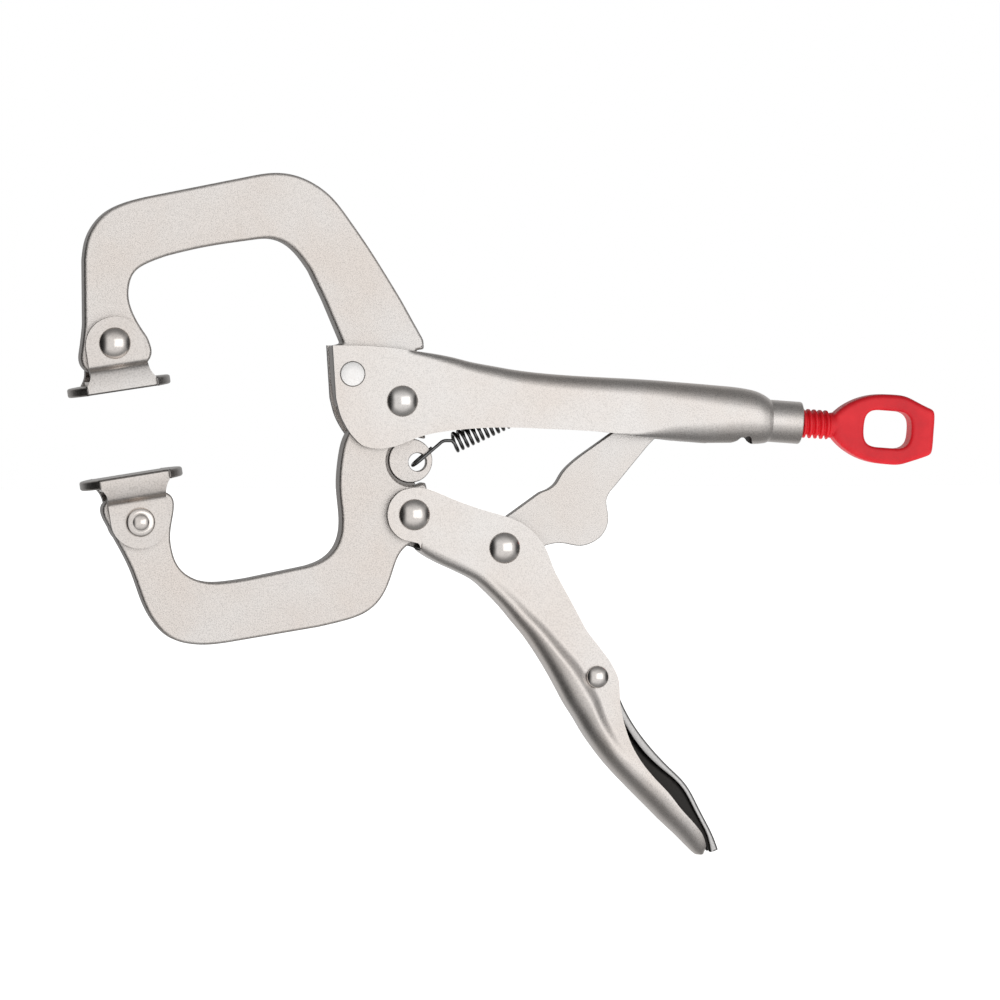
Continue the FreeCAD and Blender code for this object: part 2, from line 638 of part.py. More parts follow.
def eye_loop(wire):
    """A long loop of wire through the eye and round its outer side; gives the loop's far end too."""
    eye = Vector(size("eye_x"), 0, size("eye_z"))
    along = Vector(size("coil_x") - eye.x, 0, size("coil_z") - eye.z)
    along.normalize()
    bend = size("boss_web") / 2 + wire + 0.1
    out = Vector(0, bend, 0)
    near = eye + along * 0.6
    far = eye + along * 4.9
    path = Part.Wire([
        Part.Arc(near + out, near - along * bend, near - out).toShape(),
        Part.LineSegment(near - out, far - out).toShape(),
        Part.Arc(far - out, far + along * bend, far + out).toShape(),
        Part.LineSegment(far + out, near + out).toShape(),
    ])
    ring = Part.Wire(Part.Circle(near + out, along, wire).toShape())
    return far + along * bend, path.makePipeShell([ring], True, False)


def tension_spring():
    """Close coils with a loop round the lower arm's eye and one round the anchor."""
    wire = size("wire_radius")
    radius = size("coil_radius")
    pitch = size("coil_pitch")
    slope = math.radians(size("coil_slope"))
    height = pitch * size("coil_turns")
    axis = Vector(math.cos(slope), 0, math.sin(slope))
    start = Vector(size("coil_x"), 0, size("coil_z"))
    helix = Part.makeHelix(pitch, height, radius)
    ring = Part.Wire(Part.Circle(Vector(radius, 0, 0), Vector(0, 1, 0), wire).toShape())
    coil = Part.Wire(helix.Edges).makePipeShell([ring], True, True)
    coil.Placement = FreeCAD.Placement(start, FreeCAD.Rotation(Vector(0, 0, 1), axis))
    first = coil.Placement.multVec(Vector(radius, 0, 0))
    last = coil.Placement.multVec(Vector(radius, 0, height))
    lead, front_loop = eye_loop(wire)
    anchor = Vector(size("anchor_x"), 0, size("anchor_z"))
    anchor_loop = size("anchor_radius") + wire + 0.1
    back = Part.makeTorus(anchor_loop, wire, anchor, Vector(0, 1, 0))
    outward = last - anchor
    outward.normalize()
    pieces = [front_loop, back, round_bar(lead, first, wire), Part.makeSphere(wire, first),
              round_bar(last, anchor + outward * anchor_loop, wire), Part.makeSphere(wire, last)]
    shape = coil
    for piece in pieces:
        shape = shape.fuse(piece)
    return solid("tension_spring", shape)


def spring_anchor():
    """A short bar across the inside of the handle, fixed to both flanks."""
    bar = doc.addObject("Part::Cylinder", "anchor_bar")
    bar.Label = "spring_anchor"
    bar.setExpression("Radius", "Sizes.anchor_radius")
    bar.setExpression("Height", "Sizes.channel_width - 2 * Sizes.metal")
    bar.Placement = FreeCAD.Placement(
        Vector(0, size("metal") - size("channel_width") / 2, 0), FreeCAD.Rotation(Vector(1, 0, 0), -90))
    bar.setExpression("Placement.Base.x", "Sizes.anchor_x")
    bar.setExpression("Placement.Base.z", "Sizes.anchor_z")
    return bar


# ---------------------------------------------------------------- the assembly

row = len(SIZES) + 1
for name, expression in (
        ("upper_pad_x", "=-pad_reach * sin(upper_pad_tilt * 1deg)"),
        ("upper_pad_z", "=pad_reach * cos(upper_pad_tilt * 1deg)")):
    sheet.set("A%d" % row, name)
    sheet.set("B%d" % row, expression)
    sheet.setAlias("B%d" % row, name)
    row += 1
doc.recompute()

channel = size("channel_width")
upper_turn = -size("upper_pad_tilt")
lower_turn = 180 - size("lower_pad_tilt")
pad_stack = size("arm_thick") + 2 * (size("plain_gap") + size("ear_thick"))
NODES = [
    upper_handle(),
    upper_arm(),
    rivet("arm_fixing_rivet", "fix", "shank_radius", "flush_radius", "flush_rise", channel),
    rivet("jaw_pivot_rivet", "jaw", "shank_radius", "dome_radius", "dome_rise", channel),
    spring_anchor(),
    tension_spring(),
    lower_arm(),
    rivet("lever_rivet", "lever", "shank_radius", "dome_radius", "dome_rise", channel),
    lever_handle(),
    rivet("link_rivet", "link", "shank_radius", "dome_radius", "dome_rise", channel),
    rivet("release_rivet", "release", "release_shank", "release_dome", "release_rise", channel + 0.8),
    toggle_link(),
    release_lever(),
    pad_disc("upper_pad_disc", "upper_pad", upper_turn),
    pad_saddle("upper_pad_saddle", "upper_pad", upper_turn),
    rivet("upper_pad_rivet", "upper_pad", "pad_shank", "dome_radius", "dome_rise", pad_stack),
    pad_disc("lower_pad_disc", "lower_pad", lower_turn),
    pad_saddle("lower_pad_saddle", "lower_pad", lower_turn),
    rivet("lower_pad_rivet", "lower_pad", "pad_shank", "lower_dome", "dome_rise", pad_stack),
    eye_screw(),
    screw_tip(),
]
doc.recompute()

for item in doc.Objects:
    if "Invalid" in item.State or "Error" in item.State:
        raise RuntimeError("%s failed: %s" % (item.Label, item.State))
for node in NODES:
    if node.Shape.isNull() or not node.Shape.isValid() or node.Shape.Volume <= 0:
        raise RuntimeError("%s has no valid solid" % node.Label)

os.makedirs("parts", exist_ok=True)
for node in NODES:
    node.Shape.exportStep(os.path.join("parts", node.Label + ".step"))
    print("%-18s %9.1f mm3, %d solid" % (node.Label, node.Shape.Volume, len(node.Shape.Solids)))
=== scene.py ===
import json
import math

import bpy
import bmesh
import numpy as np
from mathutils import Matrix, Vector

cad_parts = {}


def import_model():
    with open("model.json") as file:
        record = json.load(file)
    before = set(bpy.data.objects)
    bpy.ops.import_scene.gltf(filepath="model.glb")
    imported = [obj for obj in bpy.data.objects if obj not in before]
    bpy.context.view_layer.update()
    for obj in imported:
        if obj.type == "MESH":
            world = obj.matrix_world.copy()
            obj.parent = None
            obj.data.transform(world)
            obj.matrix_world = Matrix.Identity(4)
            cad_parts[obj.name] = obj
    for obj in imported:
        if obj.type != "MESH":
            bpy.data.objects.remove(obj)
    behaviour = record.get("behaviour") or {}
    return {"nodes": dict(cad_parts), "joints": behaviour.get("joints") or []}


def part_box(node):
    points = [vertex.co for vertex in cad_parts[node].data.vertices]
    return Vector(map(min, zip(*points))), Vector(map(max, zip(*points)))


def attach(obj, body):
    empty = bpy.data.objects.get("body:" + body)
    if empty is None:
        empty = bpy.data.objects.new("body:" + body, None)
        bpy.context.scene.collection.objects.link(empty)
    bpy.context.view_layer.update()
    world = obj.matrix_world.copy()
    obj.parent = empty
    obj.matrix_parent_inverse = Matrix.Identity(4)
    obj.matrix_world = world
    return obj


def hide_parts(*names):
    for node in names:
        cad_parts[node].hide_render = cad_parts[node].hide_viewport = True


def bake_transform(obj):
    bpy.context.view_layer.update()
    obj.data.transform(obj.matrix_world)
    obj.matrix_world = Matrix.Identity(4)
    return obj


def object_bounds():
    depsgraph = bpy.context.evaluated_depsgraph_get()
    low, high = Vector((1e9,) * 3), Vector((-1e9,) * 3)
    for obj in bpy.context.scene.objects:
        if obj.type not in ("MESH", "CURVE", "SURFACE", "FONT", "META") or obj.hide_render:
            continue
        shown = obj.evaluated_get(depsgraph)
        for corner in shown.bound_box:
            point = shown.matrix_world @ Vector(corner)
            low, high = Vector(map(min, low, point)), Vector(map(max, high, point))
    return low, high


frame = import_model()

CAD_LOW, CAD_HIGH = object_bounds()

# The object is drawn in millimetres, in the frame of the CAD model. Each mesh is made in metres.
MM = 0.001

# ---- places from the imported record

JOINTS = {joint["name"]: joint for joint in frame["joints"]}


def pivot(name):
    """A hinge's place in the XZ plane, in millimetres."""
    place = JOINTS[name]["pos_m"]
    return np.array([place[0], place[2]]) / MM


def middle_of(node):
    """The middle of a node's box in the XZ plane, in millimetres."""
    low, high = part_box(node)
    return np.array([(low[0] + high[0]) / 2, (low[2] + high[2]) / 2]) / MM


JAW = pivot("jaw_pivot")
LEVER = pivot("lever_pivot")
LINK = pivot("link_pivot")
RELEASE = pivot("release_pivot")
UPPER_PAD = pivot("upper_pad_swivel")
LOWER_PAD = pivot("lower_pad_swivel")
FIX = middle_of("arm_fixing_rivet")
ANCHOR = middle_of("spring_anchor")
SCREW_AXIS = Vector(JOINTS["screw_advance"]["axis"])
SCREW_MOUTH = Vector(JOINTS["screw_turn"]["pos_m"]) / MM
EYE = np.array([59.5, -14.3])      # the hole in the lower arm that holds the spring's front hook
BOSS = np.array([58.1, -14.0])     # the middle of the thin round web about that hole
SEAT = np.array([118.5, -6.3])     # the toggle link's rounded end, which bears on the screw's tip
ARM_HALF = 3.0                     # half the thickness of the two arms
CHEEK_FACE = 4.7                   # the outside of the handles' cheeks, from the middle plane
EAR_FACE = 4.6                     # the outside of the pads' ears, from the middle plane
SHEET = 1.6                        # the thickness of the upper handle's sheet
LEVER_SHEET = 1.44                 # the thickness of the lever's sheet
RIM = 0.3                          # the rounding on the handles' cut rims

# ---- flat outlines

STEP = 0.3      # the distance between an outline's points
WELD = 0.02     # points of an outline nearer than this are one point
TINY = 1e-6


def spline(points, count=None):
    """A natural cubic spline through the points, spaced by their distances."""
    points = np.array(points, float)
    gaps = np.sqrt(np.linalg.norm(np.diff(points, axis=0), axis=1))
    knots = np.concatenate([[0.0], np.cumsum(gaps)])
    n = len(points)
    if n == 2:
        count = count or max(2, int(np.linalg.norm(points[1] - points[0]) / STEP))
        t = np.linspace(0, 1, count)[:, None]
        return points[0] * (1 - t) + points[1] * t
    h = np.diff(knots)
    system = np.eye(n)
    right = np.zeros_like(points)
    for i in range(1, n - 1):
        system[i, i - 1:i + 2] = h[i - 1], 2 * (h[i - 1] + h[i]), h[i]
        right[i] = 6 * ((points[i + 1] - points[i]) / h[i] - (points[i] - points[i - 1]) / h[i - 1])
    bend = np.linalg.solve(system, right)
    length = np.linalg.norm(np.diff(points, axis=0), axis=1).sum()
    count = count or max(4, int(length / STEP))
    t = np.linspace(0, knots[-1], count)
    i = np.clip(np.searchsorted(knots, t, side="right") - 1, 0, n - 2)
    a = (knots[i + 1] - t)[:, None]
    b = (t - knots[i])[:, None]
    w = h[i][:, None]
    return (bend[i] * a ** 3 + bend[i + 1] * b ** 3) / (6 * w) \
        + (points[i] / w - bend[i] * w / 6) * a + (points[i + 1] / w - bend[i + 1] * w / 6) * b


def round_part(centre, radius, start, end):
    """An arc from one angle to another, in degrees."""
    count = max(4, int(abs(math.radians(end - start)) * radius / STEP))
    angles = np.radians(np.linspace(start, end, count))
    return np.stack([centre[0] + radius * np.cos(angles), centre[1] + radius * np.sin(angles)], axis=1)


def around(centre, radius, degrees):
    """The point at an angle on a circle."""
    angle = math.radians(degrees)
    return (centre[0] + radius * math.cos(angle), centre[1] + radius * math.sin(angle))


def chained(start, *runs):
    """Splines end to end, each from where the last one stopped."""
    parts = []
    for run in runs:
        parts.append(spline([start] + run))
        start = run[-1]
    return np.concatenate(parts)


def joined(*parts):
    """One closed outline from its stretches: anticlockwise, evenly spaced, its corners slightly softened."""
    points = np.concatenate([np.array(part, float) for part in parts])
    keep = [points[0]]
    for point in points[1:]:
        if np.linalg.norm(point - keep[-1]) > WELD:
            keep.append(point)
    if np.linalg.norm(keep[0] - keep[-1]) < WELD:
        keep.pop()
    points = np.array(keep + keep[:1])
    steps = np.concatenate([[0.0], np.cumsum(np.linalg.norm(np.diff(points, axis=0), axis=1))])
    even = np.linspace(0, steps[-1], int(steps[-1] / STEP) + 1)[:-1]
    points = np.stack([np.interp(even, steps, points[:, k]) for k in (0, 1)], axis=1)
    for _ in range(2):
        points = (np.roll(points, 1, axis=0) + 2 * points + np.roll(points, -1, axis=0)) / 4
    x, z = points[:, 0], points[:, 1]
    area = np.sum(x * np.roll(z, -1) - np.roll(x, -1) * z)
    return points if area > 0 else points[::-1]


def outward(outline):
    """Each point's outward normal, and how much longer an offset is at a corner."""
    ahead = np.roll(outline, -1, axis=0) - outline
    ahead /= np.linalg.norm(ahead, axis=1)[:, None]
    normal = np.stack([ahead[:, 1], -ahead[:, 0]], axis=1)
    both = normal + np.roll(normal, 1, axis=0)
    both /= np.linalg.norm(both, axis=1)[:, None]
    stretch = 1 / np.clip(np.sum(both * normal, axis=1), 0.5, 1)
    return both, stretch[:, None]


# ---- meshes

def new_object(name, vertices, faces, normals=None):
    """A smooth-shaded mesh object from millimetres."""
    mesh = bpy.data.meshes.new(name)
    mesh.from_pydata([tuple(v) for v in np.array(vertices) * MM], [], [tuple(f) for f in faces])
    mesh.update()
    thing = bpy.data.objects.new(name, mesh)
    bpy.context.collection.objects.link(thing)
    mesh.shade_smooth()
    if normals is not None:
        mesh.normals_split_custom_set_from_vertices([tuple(n) for n in normals])
    return thing


def edge_rows(ring, half, rounding, bevel_steps):
    """A plate's wall along one outline: rows of (vertices, normals) from its low side to its high side."""
    out, stretch = outward(ring)
    turns = np.linspace(0, math.pi / 2, bevel_steps)
    rows = []
    for side in (-1, 1):
        for turn in turns[::-side]:
            flat = ring - out * stretch * (rounding * (1 - math.sin(turn)))
            depth = np.full(len(ring), side * (half - rounding * (1 - math.cos(turn))))
            across = np.full(len(ring), side * math.cos(turn))
            rows.append((np.stack([flat[:, 0], depth, flat[:, 1]], axis=1),
                         np.stack([out[:, 0] * math.sin(turn), across, out[:, 1] * math.sin(turn)], axis=1)))
    return rows


def filled(vertices, loops, side):
    """Triangles that close a plate's flat side, between its outline and its holes."""
    work = bmesh.new()
    number = {}
    for base, count in loops:
        made = [work.verts.new(vertices[base + i]) for i in range(count)]
        for i, vertex in enumerate(made):
            number[vertex] = base + i
            work.edges.new((vertex, made[(i + 1) % count]))
    bmesh.ops.triangle_fill(work, use_beauty=True, use_dissolve=False, edges=work.edges[:],
                            normal=(0, side, 0))
    faces = []
    for face in work.faces:
        face.normal_update()
        order = [number[v] for v in face.verts]
        faces.append(order if face.normal.y * side > 0 else order[::-1])
    work.free()
    return faces


def plate_data(outline, holes, half, edge, hole_edge=None, bevel_steps=5):
    """A flat plate in the XZ plane with rounded edges and holes: its vertices, faces and normals."""
    hole_edge = edge if hole_edge is None else hole_edge
    vertices, faces, normals = [], [], []
    low_loops, high_loops = [], []
    rings = [(outline, edge)] + [(hole[::-1], hole_edge) for hole in holes]
    for ring, rounding in rings:
        count = len(ring)
        bases = []
        for row, row_normals in edge_rows(ring, half, rounding, bevel_steps):
            bases.append(len(vertices))
            vertices.extend(row)
            normals.extend(row_normals)
        for low, high in zip(bases, bases[1:]):
            for i in range(count):
                j = (i + 1) % count
                faces.append((low + i, high + i, high + j, low + j))
        low_loops.append((bases[0], count))
        high_loops.append((bases[-1], count))
    vertices = np.array(vertices)
    faces += filled(vertices, low_loops, -1) + filled(vertices, high_loops, 1)
    return vertices, faces, np.array(normals)


def merged(*parts):
    """Several (vertices, faces, normals) as one."""
    vertices, faces, normals, base = [], [], [], 0
    for v, f, n in parts:
        vertices.append(v)
        normals.append(n)
        faces.extend([tuple(i + base for i in face) for face in f])
        base += len(v)
    return np.concatenate(vertices), faces, np.concatenate(normals)


def profile_normals(profile):
    """The outward (radial, axial) normal at each point of a turned profile."""
    slope = np.diff(profile, axis=0)
    normals = []
    for i, (radius, _) in enumerate(profile):
        before = slope[max(i - 1, 0)]
        after = slope[min(i, len(slope) - 1)]
        if np.linalg.norm(before) < TINY:
            before = after
        if np.linalg.norm(after) < TINY:
            after = before
        along = before / np.linalg.norm(before) + after / np.linalg.norm(after)
        if np.linalg.norm(along) < TINY:
            along = after
        along = along / np.linalg.norm(along)
        pole = (0.0, 1.0 if along[0] < 0 else -1.0)
        normals.append(pole if radius < TINY else (along[1], -along[0]))
    return normals


def turned_data(profile, segments=72):
    """A body of revolution about local Z from (radius, height) points; a corner is a point given twice."""
    profile = np.array(profile, float)
    angles = np.linspace(0, 2 * math.pi, segments, endpoint=False)
    vertices, faces, normals = [], [], []
    for (radius, height), (radial, axial) in zip(profile, profile_normals(profile)):
        for a in angles:
            vertices.append((radius * math.cos(a), radius * math.sin(a), height))
            normals.append((radial * math.cos(a), radial * math.sin(a), axial))
    for i in range(len(profile) - 1):
        if np.linalg.norm(profile[i + 1] - profile[i]) < TINY:
            continue
        low, high = i * segments, (i + 1) * segments
        for s in range(segments):
            t = (s + 1) % segments
            if profile[i][0] < TINY:
                faces.append((low, high + t, high + s))
            elif profile[i + 1][0] < TINY:
                faces.append((low + s, low + t, high))
            else:
                faces.append((low + s, low + t, high + t, high + s))
    return np.array(vertices), faces, np.array(normals)


def placed(data, matrix, shift):
    """Turns and moves (vertices, faces, normals) by a 3 by 3 matrix and a shift."""
    v, f, n = data
    matrix = np.array(matrix, float)
    flip = np.linalg.det(matrix) < 0
    faces = [tuple(reversed(face)) for face in f] if flip else f
    return v @ matrix.T + np.array(shift, float), faces, n @ matrix.T


def moved(thing, matrix, shift):
    """Turns and moves an object's mesh by a 3 by 3 matrix and a shift in millimetres."""
    for vertex in thing.data.vertices:
        vertex.co = Vector(matrix @ np.array(vertex.co)) + Vector(shift) * MM
    thing.data.update()


def grid(rows, columns, flip=False):
    """The quads between neighbouring rows of points."""
    faces = []
    for i in range(rows - 1):
        for j in range(columns - 1):
            a = i * columns + j
            quad = (a, a + columns, a + columns + 1, a + 1)
            faces.append(quad[::-1] if flip else quad)
    return faces


def tube_faces(rows, count, flip=False):
    """The quads between neighbouring closed rings of points."""
    faces = []
    for i in range(rows - 1):
        for j in range(count):
            k = (j + 1) % count
            a, b = i * count, (i + 1) * count
            faces.append((a + j, b + j, b + k, a + k) if flip else (a + j, a + k, b + k, b + j))
    return faces


def on_wall(face):
    """Whether a plate's face is on its cut edge and not on a flat side."""
    return abs(face.normal.y) < 0.55


def piece(name, data, body, nodes, surface, rim_shade=None):
    """A plate as a finished piece, with the edge material, a painted shade, on its walls."""
    thing = new_object(name, *data)
    if rim_shade is not None:
        # faces on the walls take the second material: painted shade on the cut edges
        for face in thing.data.polygons:
            face.material_index = int(on_wall(face))
    return finished(thing, body, nodes, surface, rim_shade)


def finished(thing, body, nodes, surface, rim_shade=None):
    """Cleans a piece, gives it its materials and says what it rides on and stands for."""
    mesh = thing.data
    clean = bmesh.new()
    clean.from_mesh(mesh)
    loose = [v for v in clean.verts if not v.link_faces]
    if loose:
        bmesh.ops.delete(clean, geom=loose, context="VERTS")
        clean.to_mesh(mesh)
    clean.free()
    index = np.zeros(len(mesh.polygons), np.int32)
    mesh.polygons.foreach_get("material_index", index)
    index[index > 1] = 0
    mesh.materials.clear()
    mesh.materials.append(surface)
    if rim_shade is not None:
        mesh.materials.append(rim_shade)
        mesh.polygons.foreach_set("material_index", index)
    if body is not None:
        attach(thing, body)
    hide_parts(*nodes)
    return thing


def applied(thing):
    """The object with its modifiers made into plain mesh."""
    graph = bpy.context.evaluated_depsgraph_get()
    mesh = bpy.data.meshes.new_from_object(thing.evaluated_get(graph), preserve_all_data_layers=True,
                                           depsgraph=graph)
    thing.modifiers.clear()
    thing.data = mesh
    return thing


def fused(things):
    """Joins the meshes of several objects into the first."""
    for other in bpy.context.selected_objects:
        other.select_set(False)
    for thing in things:
        thing.select_set(True)
    bpy.context.view_layer.objects.active = things[0]
    bpy.ops.object.join()
    return things[0]


# how a part's local X, Y, Z lie in the frame: a turned part's height along +Y, or a plate laid flat
ALONG_Y = np.array([[1, 0, 0], [0, 0, 1], [0, -1, 0]], float)
LAID_FLAT = np.array([[1, 0, 0], [0, 0, 1], [0, 1, 0]], float)


# ---- materials

PIT_DEPTH = 0.00006      # metres
CLOUD_DEPTH = 0.0002


def material(name):
    """A new node material: it, its nodes and links, its shader and the object's own coordinates."""
    made = bpy.data.materials.new(name)
    made.use_nodes = True
    nodes, links = made.node_tree.nodes, made.node_tree.links
    shader = nodes["Principled BSDF"]
    place = nodes.new("ShaderNodeTexCoord")
    return made, nodes, links, shader, place.outputs["Object"]


def noise(nodes, links, place, scale, detail, rough):
    """A noise texture's value."""
    made = nodes.new("ShaderNodeTexNoise")
    made.inputs["Scale"].default_value = scale
    made.inputs["Detail"].default_value = detail
    made.inputs["Roughness"].default_value = rough
    links.new(place, made.inputs["Vector"])
    return made.outputs["Fac"]


def ramp(nodes, links, value, stops):
    """A colour from a value, by (position, colour) stops."""
    made = nodes.new("ShaderNodeValToRGB")
    made.color_ramp.elements[0].position, made.color_ramp.elements[0].color = stops[0]
    made.color_ramp.elements[1].position, made.color_ramp.elements[1].color = stops[-1]
    for position, colour in stops[1:-1]:
        made.color_ramp.elements.new(position).color = colour
    links.new(value, made.inputs["Fac"])
    return made.outputs["Color"]


def spread(nodes, links, value, low, high, start=0.3, end=0.7, smooth=False):
    """A value from start to end turned into one from low to high."""
    made = nodes.new("ShaderNodeMapRange")
    if smooth:
        made.interpolation_type = "SMOOTHSTEP"
    for key, number in (("From Min", start), ("From Max", end), ("To Min", low), ("To Max", high)):
        made.inputs[key].default_value = number
    links.new(value, made.inputs["Value"])
    return made.outputs["Result"]


def bumped(nodes, links, shader, layers):
    """Chains bump nodes: each layer is (height, strength, distance in metres)."""
    last = None
    for height, strength, distance in layers:
        bump = nodes.new("ShaderNodeBump")
        bump.inputs["Strength"].default_value = strength
        bump.inputs["Distance"].default_value = distance
        links.new(height, bump.inputs["Height"])
        if last is not None:
            links.new(last, bump.inputs["Normal"])
        last = bump.outputs["Normal"]
    links.new(last, shader.inputs["Normal"])


def grey(value, warm=0.0):
    """A grey with a little more red and less blue as warm grows."""
    return (min(value * (1 + 1.4 * warm), 1.0), value, value * (1 - 1.1 * warm), 1)


def plated_steel(name, tone, gloss, grain, depth, warm=0.03, contrast=1.0, metal=1.0):
    """Satin plated steel: fine mottled grain, faint cloudy tarnish, and a rough, softly pitted surface."""
    made, nodes, links, shader, place = material(name)
    speckle = noise(nodes, links, place, grain, 3.0, 0.6)
    cloud = noise(nodes, links, place, 55.0, 3.0, 0.55)
    dark, light = tone * (1 - 0.20 * contrast), min(tone * (1 + 0.12 * contrast), 1.0)
    fine = ramp(nodes, links, speckle, [(0.36, grey(dark, warm)), (0.50, grey(tone, warm)),
                                        (0.64, grey(light, warm))])
    wide = ramp(nodes, links, cloud, [(0.32, grey(0.93, warm)), (0.68, grey(1.0))])
    mixed = nodes.new("ShaderNodeMix")
    mixed.data_type = "RGBA"
    mixed.blend_type = "MULTIPLY"
    mixed.inputs["Factor"].default_value = 1.0
    links.new(fine, mixed.inputs["A"])
    links.new(wide, mixed.inputs["B"])
    links.new(mixed.outputs["Result"], shader.inputs["Base Color"])
    shader.inputs["Metallic"].default_value = metal
    rough = spread(nodes, links, speckle, gloss - 0.05 * contrast, gloss + 0.09 * contrast)
    links.new(rough, shader.inputs["Roughness"])
    pits = noise(nodes, links, place, grain * 0.8, 2.0, 0.5)
    bumped(nodes, links, shader, [(pits, depth, PIT_DEPTH), (cloud, 0.2, CLOUD_DEPTH)])
    return made


def red_paint(name):
    """Satin red paint with orange peel, a darker tone in its hollows and dusty, faded high spots."""
    made, nodes, links, shader, place = material(name)
    cloud = noise(nodes, links, place, 120.0, 4.0, 0.6)
    colour = ramp(nodes, links, cloud, [(0.3, (0.60, 0.008, 0.018, 1)), (0.5, (0.72, 0.012, 0.022, 1)),
                                        (0.7, (0.80, 0.020, 0.030, 1))])
    links.new(colour, shader.inputs["Base Color"])
    shader.inputs["Metallic"].default_value = 0.0
    shader.inputs["Specular IOR Level"].default_value = 0.35
    links.new(spread(nodes, links, cloud, 0.32, 0.46), shader.inputs["Roughness"])
    peel = noise(nodes, links, place, 900.0, 2.0, 0.5)
    bumped(nodes, links, shader, [(peel, 0.25, PIT_DEPTH), (cloud, 0.2, CLOUD_DEPTH)])
    return made


# name, tone, roughness, grain and pit strength
ARM_STEEL = plated_steel("arm_steel_satin", 0.79, 0.42, 4600.0, 0.60, contrast=1.5)
SHEET_STEEL = plated_steel("pressed_steel_satin", 0.76, 0.38, 4800.0, 0.40, contrast=1.1)
PAD_STEEL = plated_steel("pad_steel_satin", 0.68, 0.36, 3000.0, 0.35)
# a darker copy of the pad steel: painted shade on the pads' discs
DISC_STEEL = plated_steel("pad_disc_steel_painted_shade", 0.40, 0.38, 2600.0, 0.35)
RIVET_STEEL = plated_steel("rivet_steel_bright", 0.84, 0.17, 2600.0, 0.06, contrast=0.4)
# near-white and barely metallic: a painted highlight across the flush rivet's head
FLUSH_STEEL = plated_steel("flush_rivet_white", 0.98, 0.50, 2600.0, 0.15, warm=0.01, contrast=0.3,
                           metal=0.15)
# dark steels for the plates' walls and the sheets' rims: painted shade on the edges, drawing thin dark lines
# where parts lie on each other
DEEP_EDGE_SHADE_STEEL = plated_steel("edge_painted_deep_shade_steel", 0.14, 0.46, 2200.0, 0.5)
EDGE_SHADE_STEEL = plated_steel("edge_painted_shade_steel", 0.34, 0.46, 2200.0, 0.5)
SPRING_STEEL = plated_steel("spring_wire_dark", 0.17, 0.28, 2400.0, 0.2, warm=0.0)
STRIP_STEEL = plated_steel("release_strip_steel", 0.50, 0.28, 4200.0, 0.25, warm=0.01)
# near-black steel for the release strip's lower flanges and rims: a painted shadow
STRIP_SHADOW_STEEL = plated_steel("strip_painted_shadow_steel", 0.05, 0.5, 2000.0, 0.4)
RED = red_paint("screw_red_paint")

# ---- the arms and the link

def upper_arm():
    """The fixed arm: a C-shaped plate whose root is hollowed round the lower arm's hub."""
    hollow = 6.3
    outline = joined(
        [(60.6, 8.2)],
        chained((60.5, 10.0), [(56.0, 18.0)],
                [(49.8, 27.9), (45.7, 33.8), (42.6, 37.8), (39.4, 40.5), (35.2, 42.5), (30.4, 43.1),
                 (25.1, 42.3)], [(5.2, 38.3)],
                [(1.2, 37.2), (-2.7, 35.3), (-5.2, 32.7), (-6.7, 29.6), (-7.3, 25.8)], [(-7.2, 13.0)],
                [(-7.7, 8.6), (-7.95, 6.4), (-7.5, 4.8), (-6.3, 3.6)],
                [(-1.4, 3.3), (4.0, 4.6), (5.9, 6.6), (6.1, 8.2), (5.3, 10.6)],
                [(3.1, 14.0), (1.75, 17.4), (1.6, 20.2), (2.6, 23.2), (5.2, 25.1), (9.1, 26.6)],
                [(17.1, 28.45), (26.0, 29.8), (30.0, 30.1), (33.0, 29.1), (35.6, 26.8), (37.8, 23.8)],
                [(40.6, 18.0)], [(44.3, 9.3)]),
        chained((42.15, 8.8), [(42.5, 2.0)], [(43.3, -3.4)], [(46.2, -2.9)]),
        round_part(JAW, hollow, 163, 60), [(59.0, 8.0)])
    piece("upper_arm_plate", plate_data(outline, [], ARM_HALF, 0.7), "frame", ["upper_arm"],
          ARM_STEEL, EDGE_SHADE_STEEL)


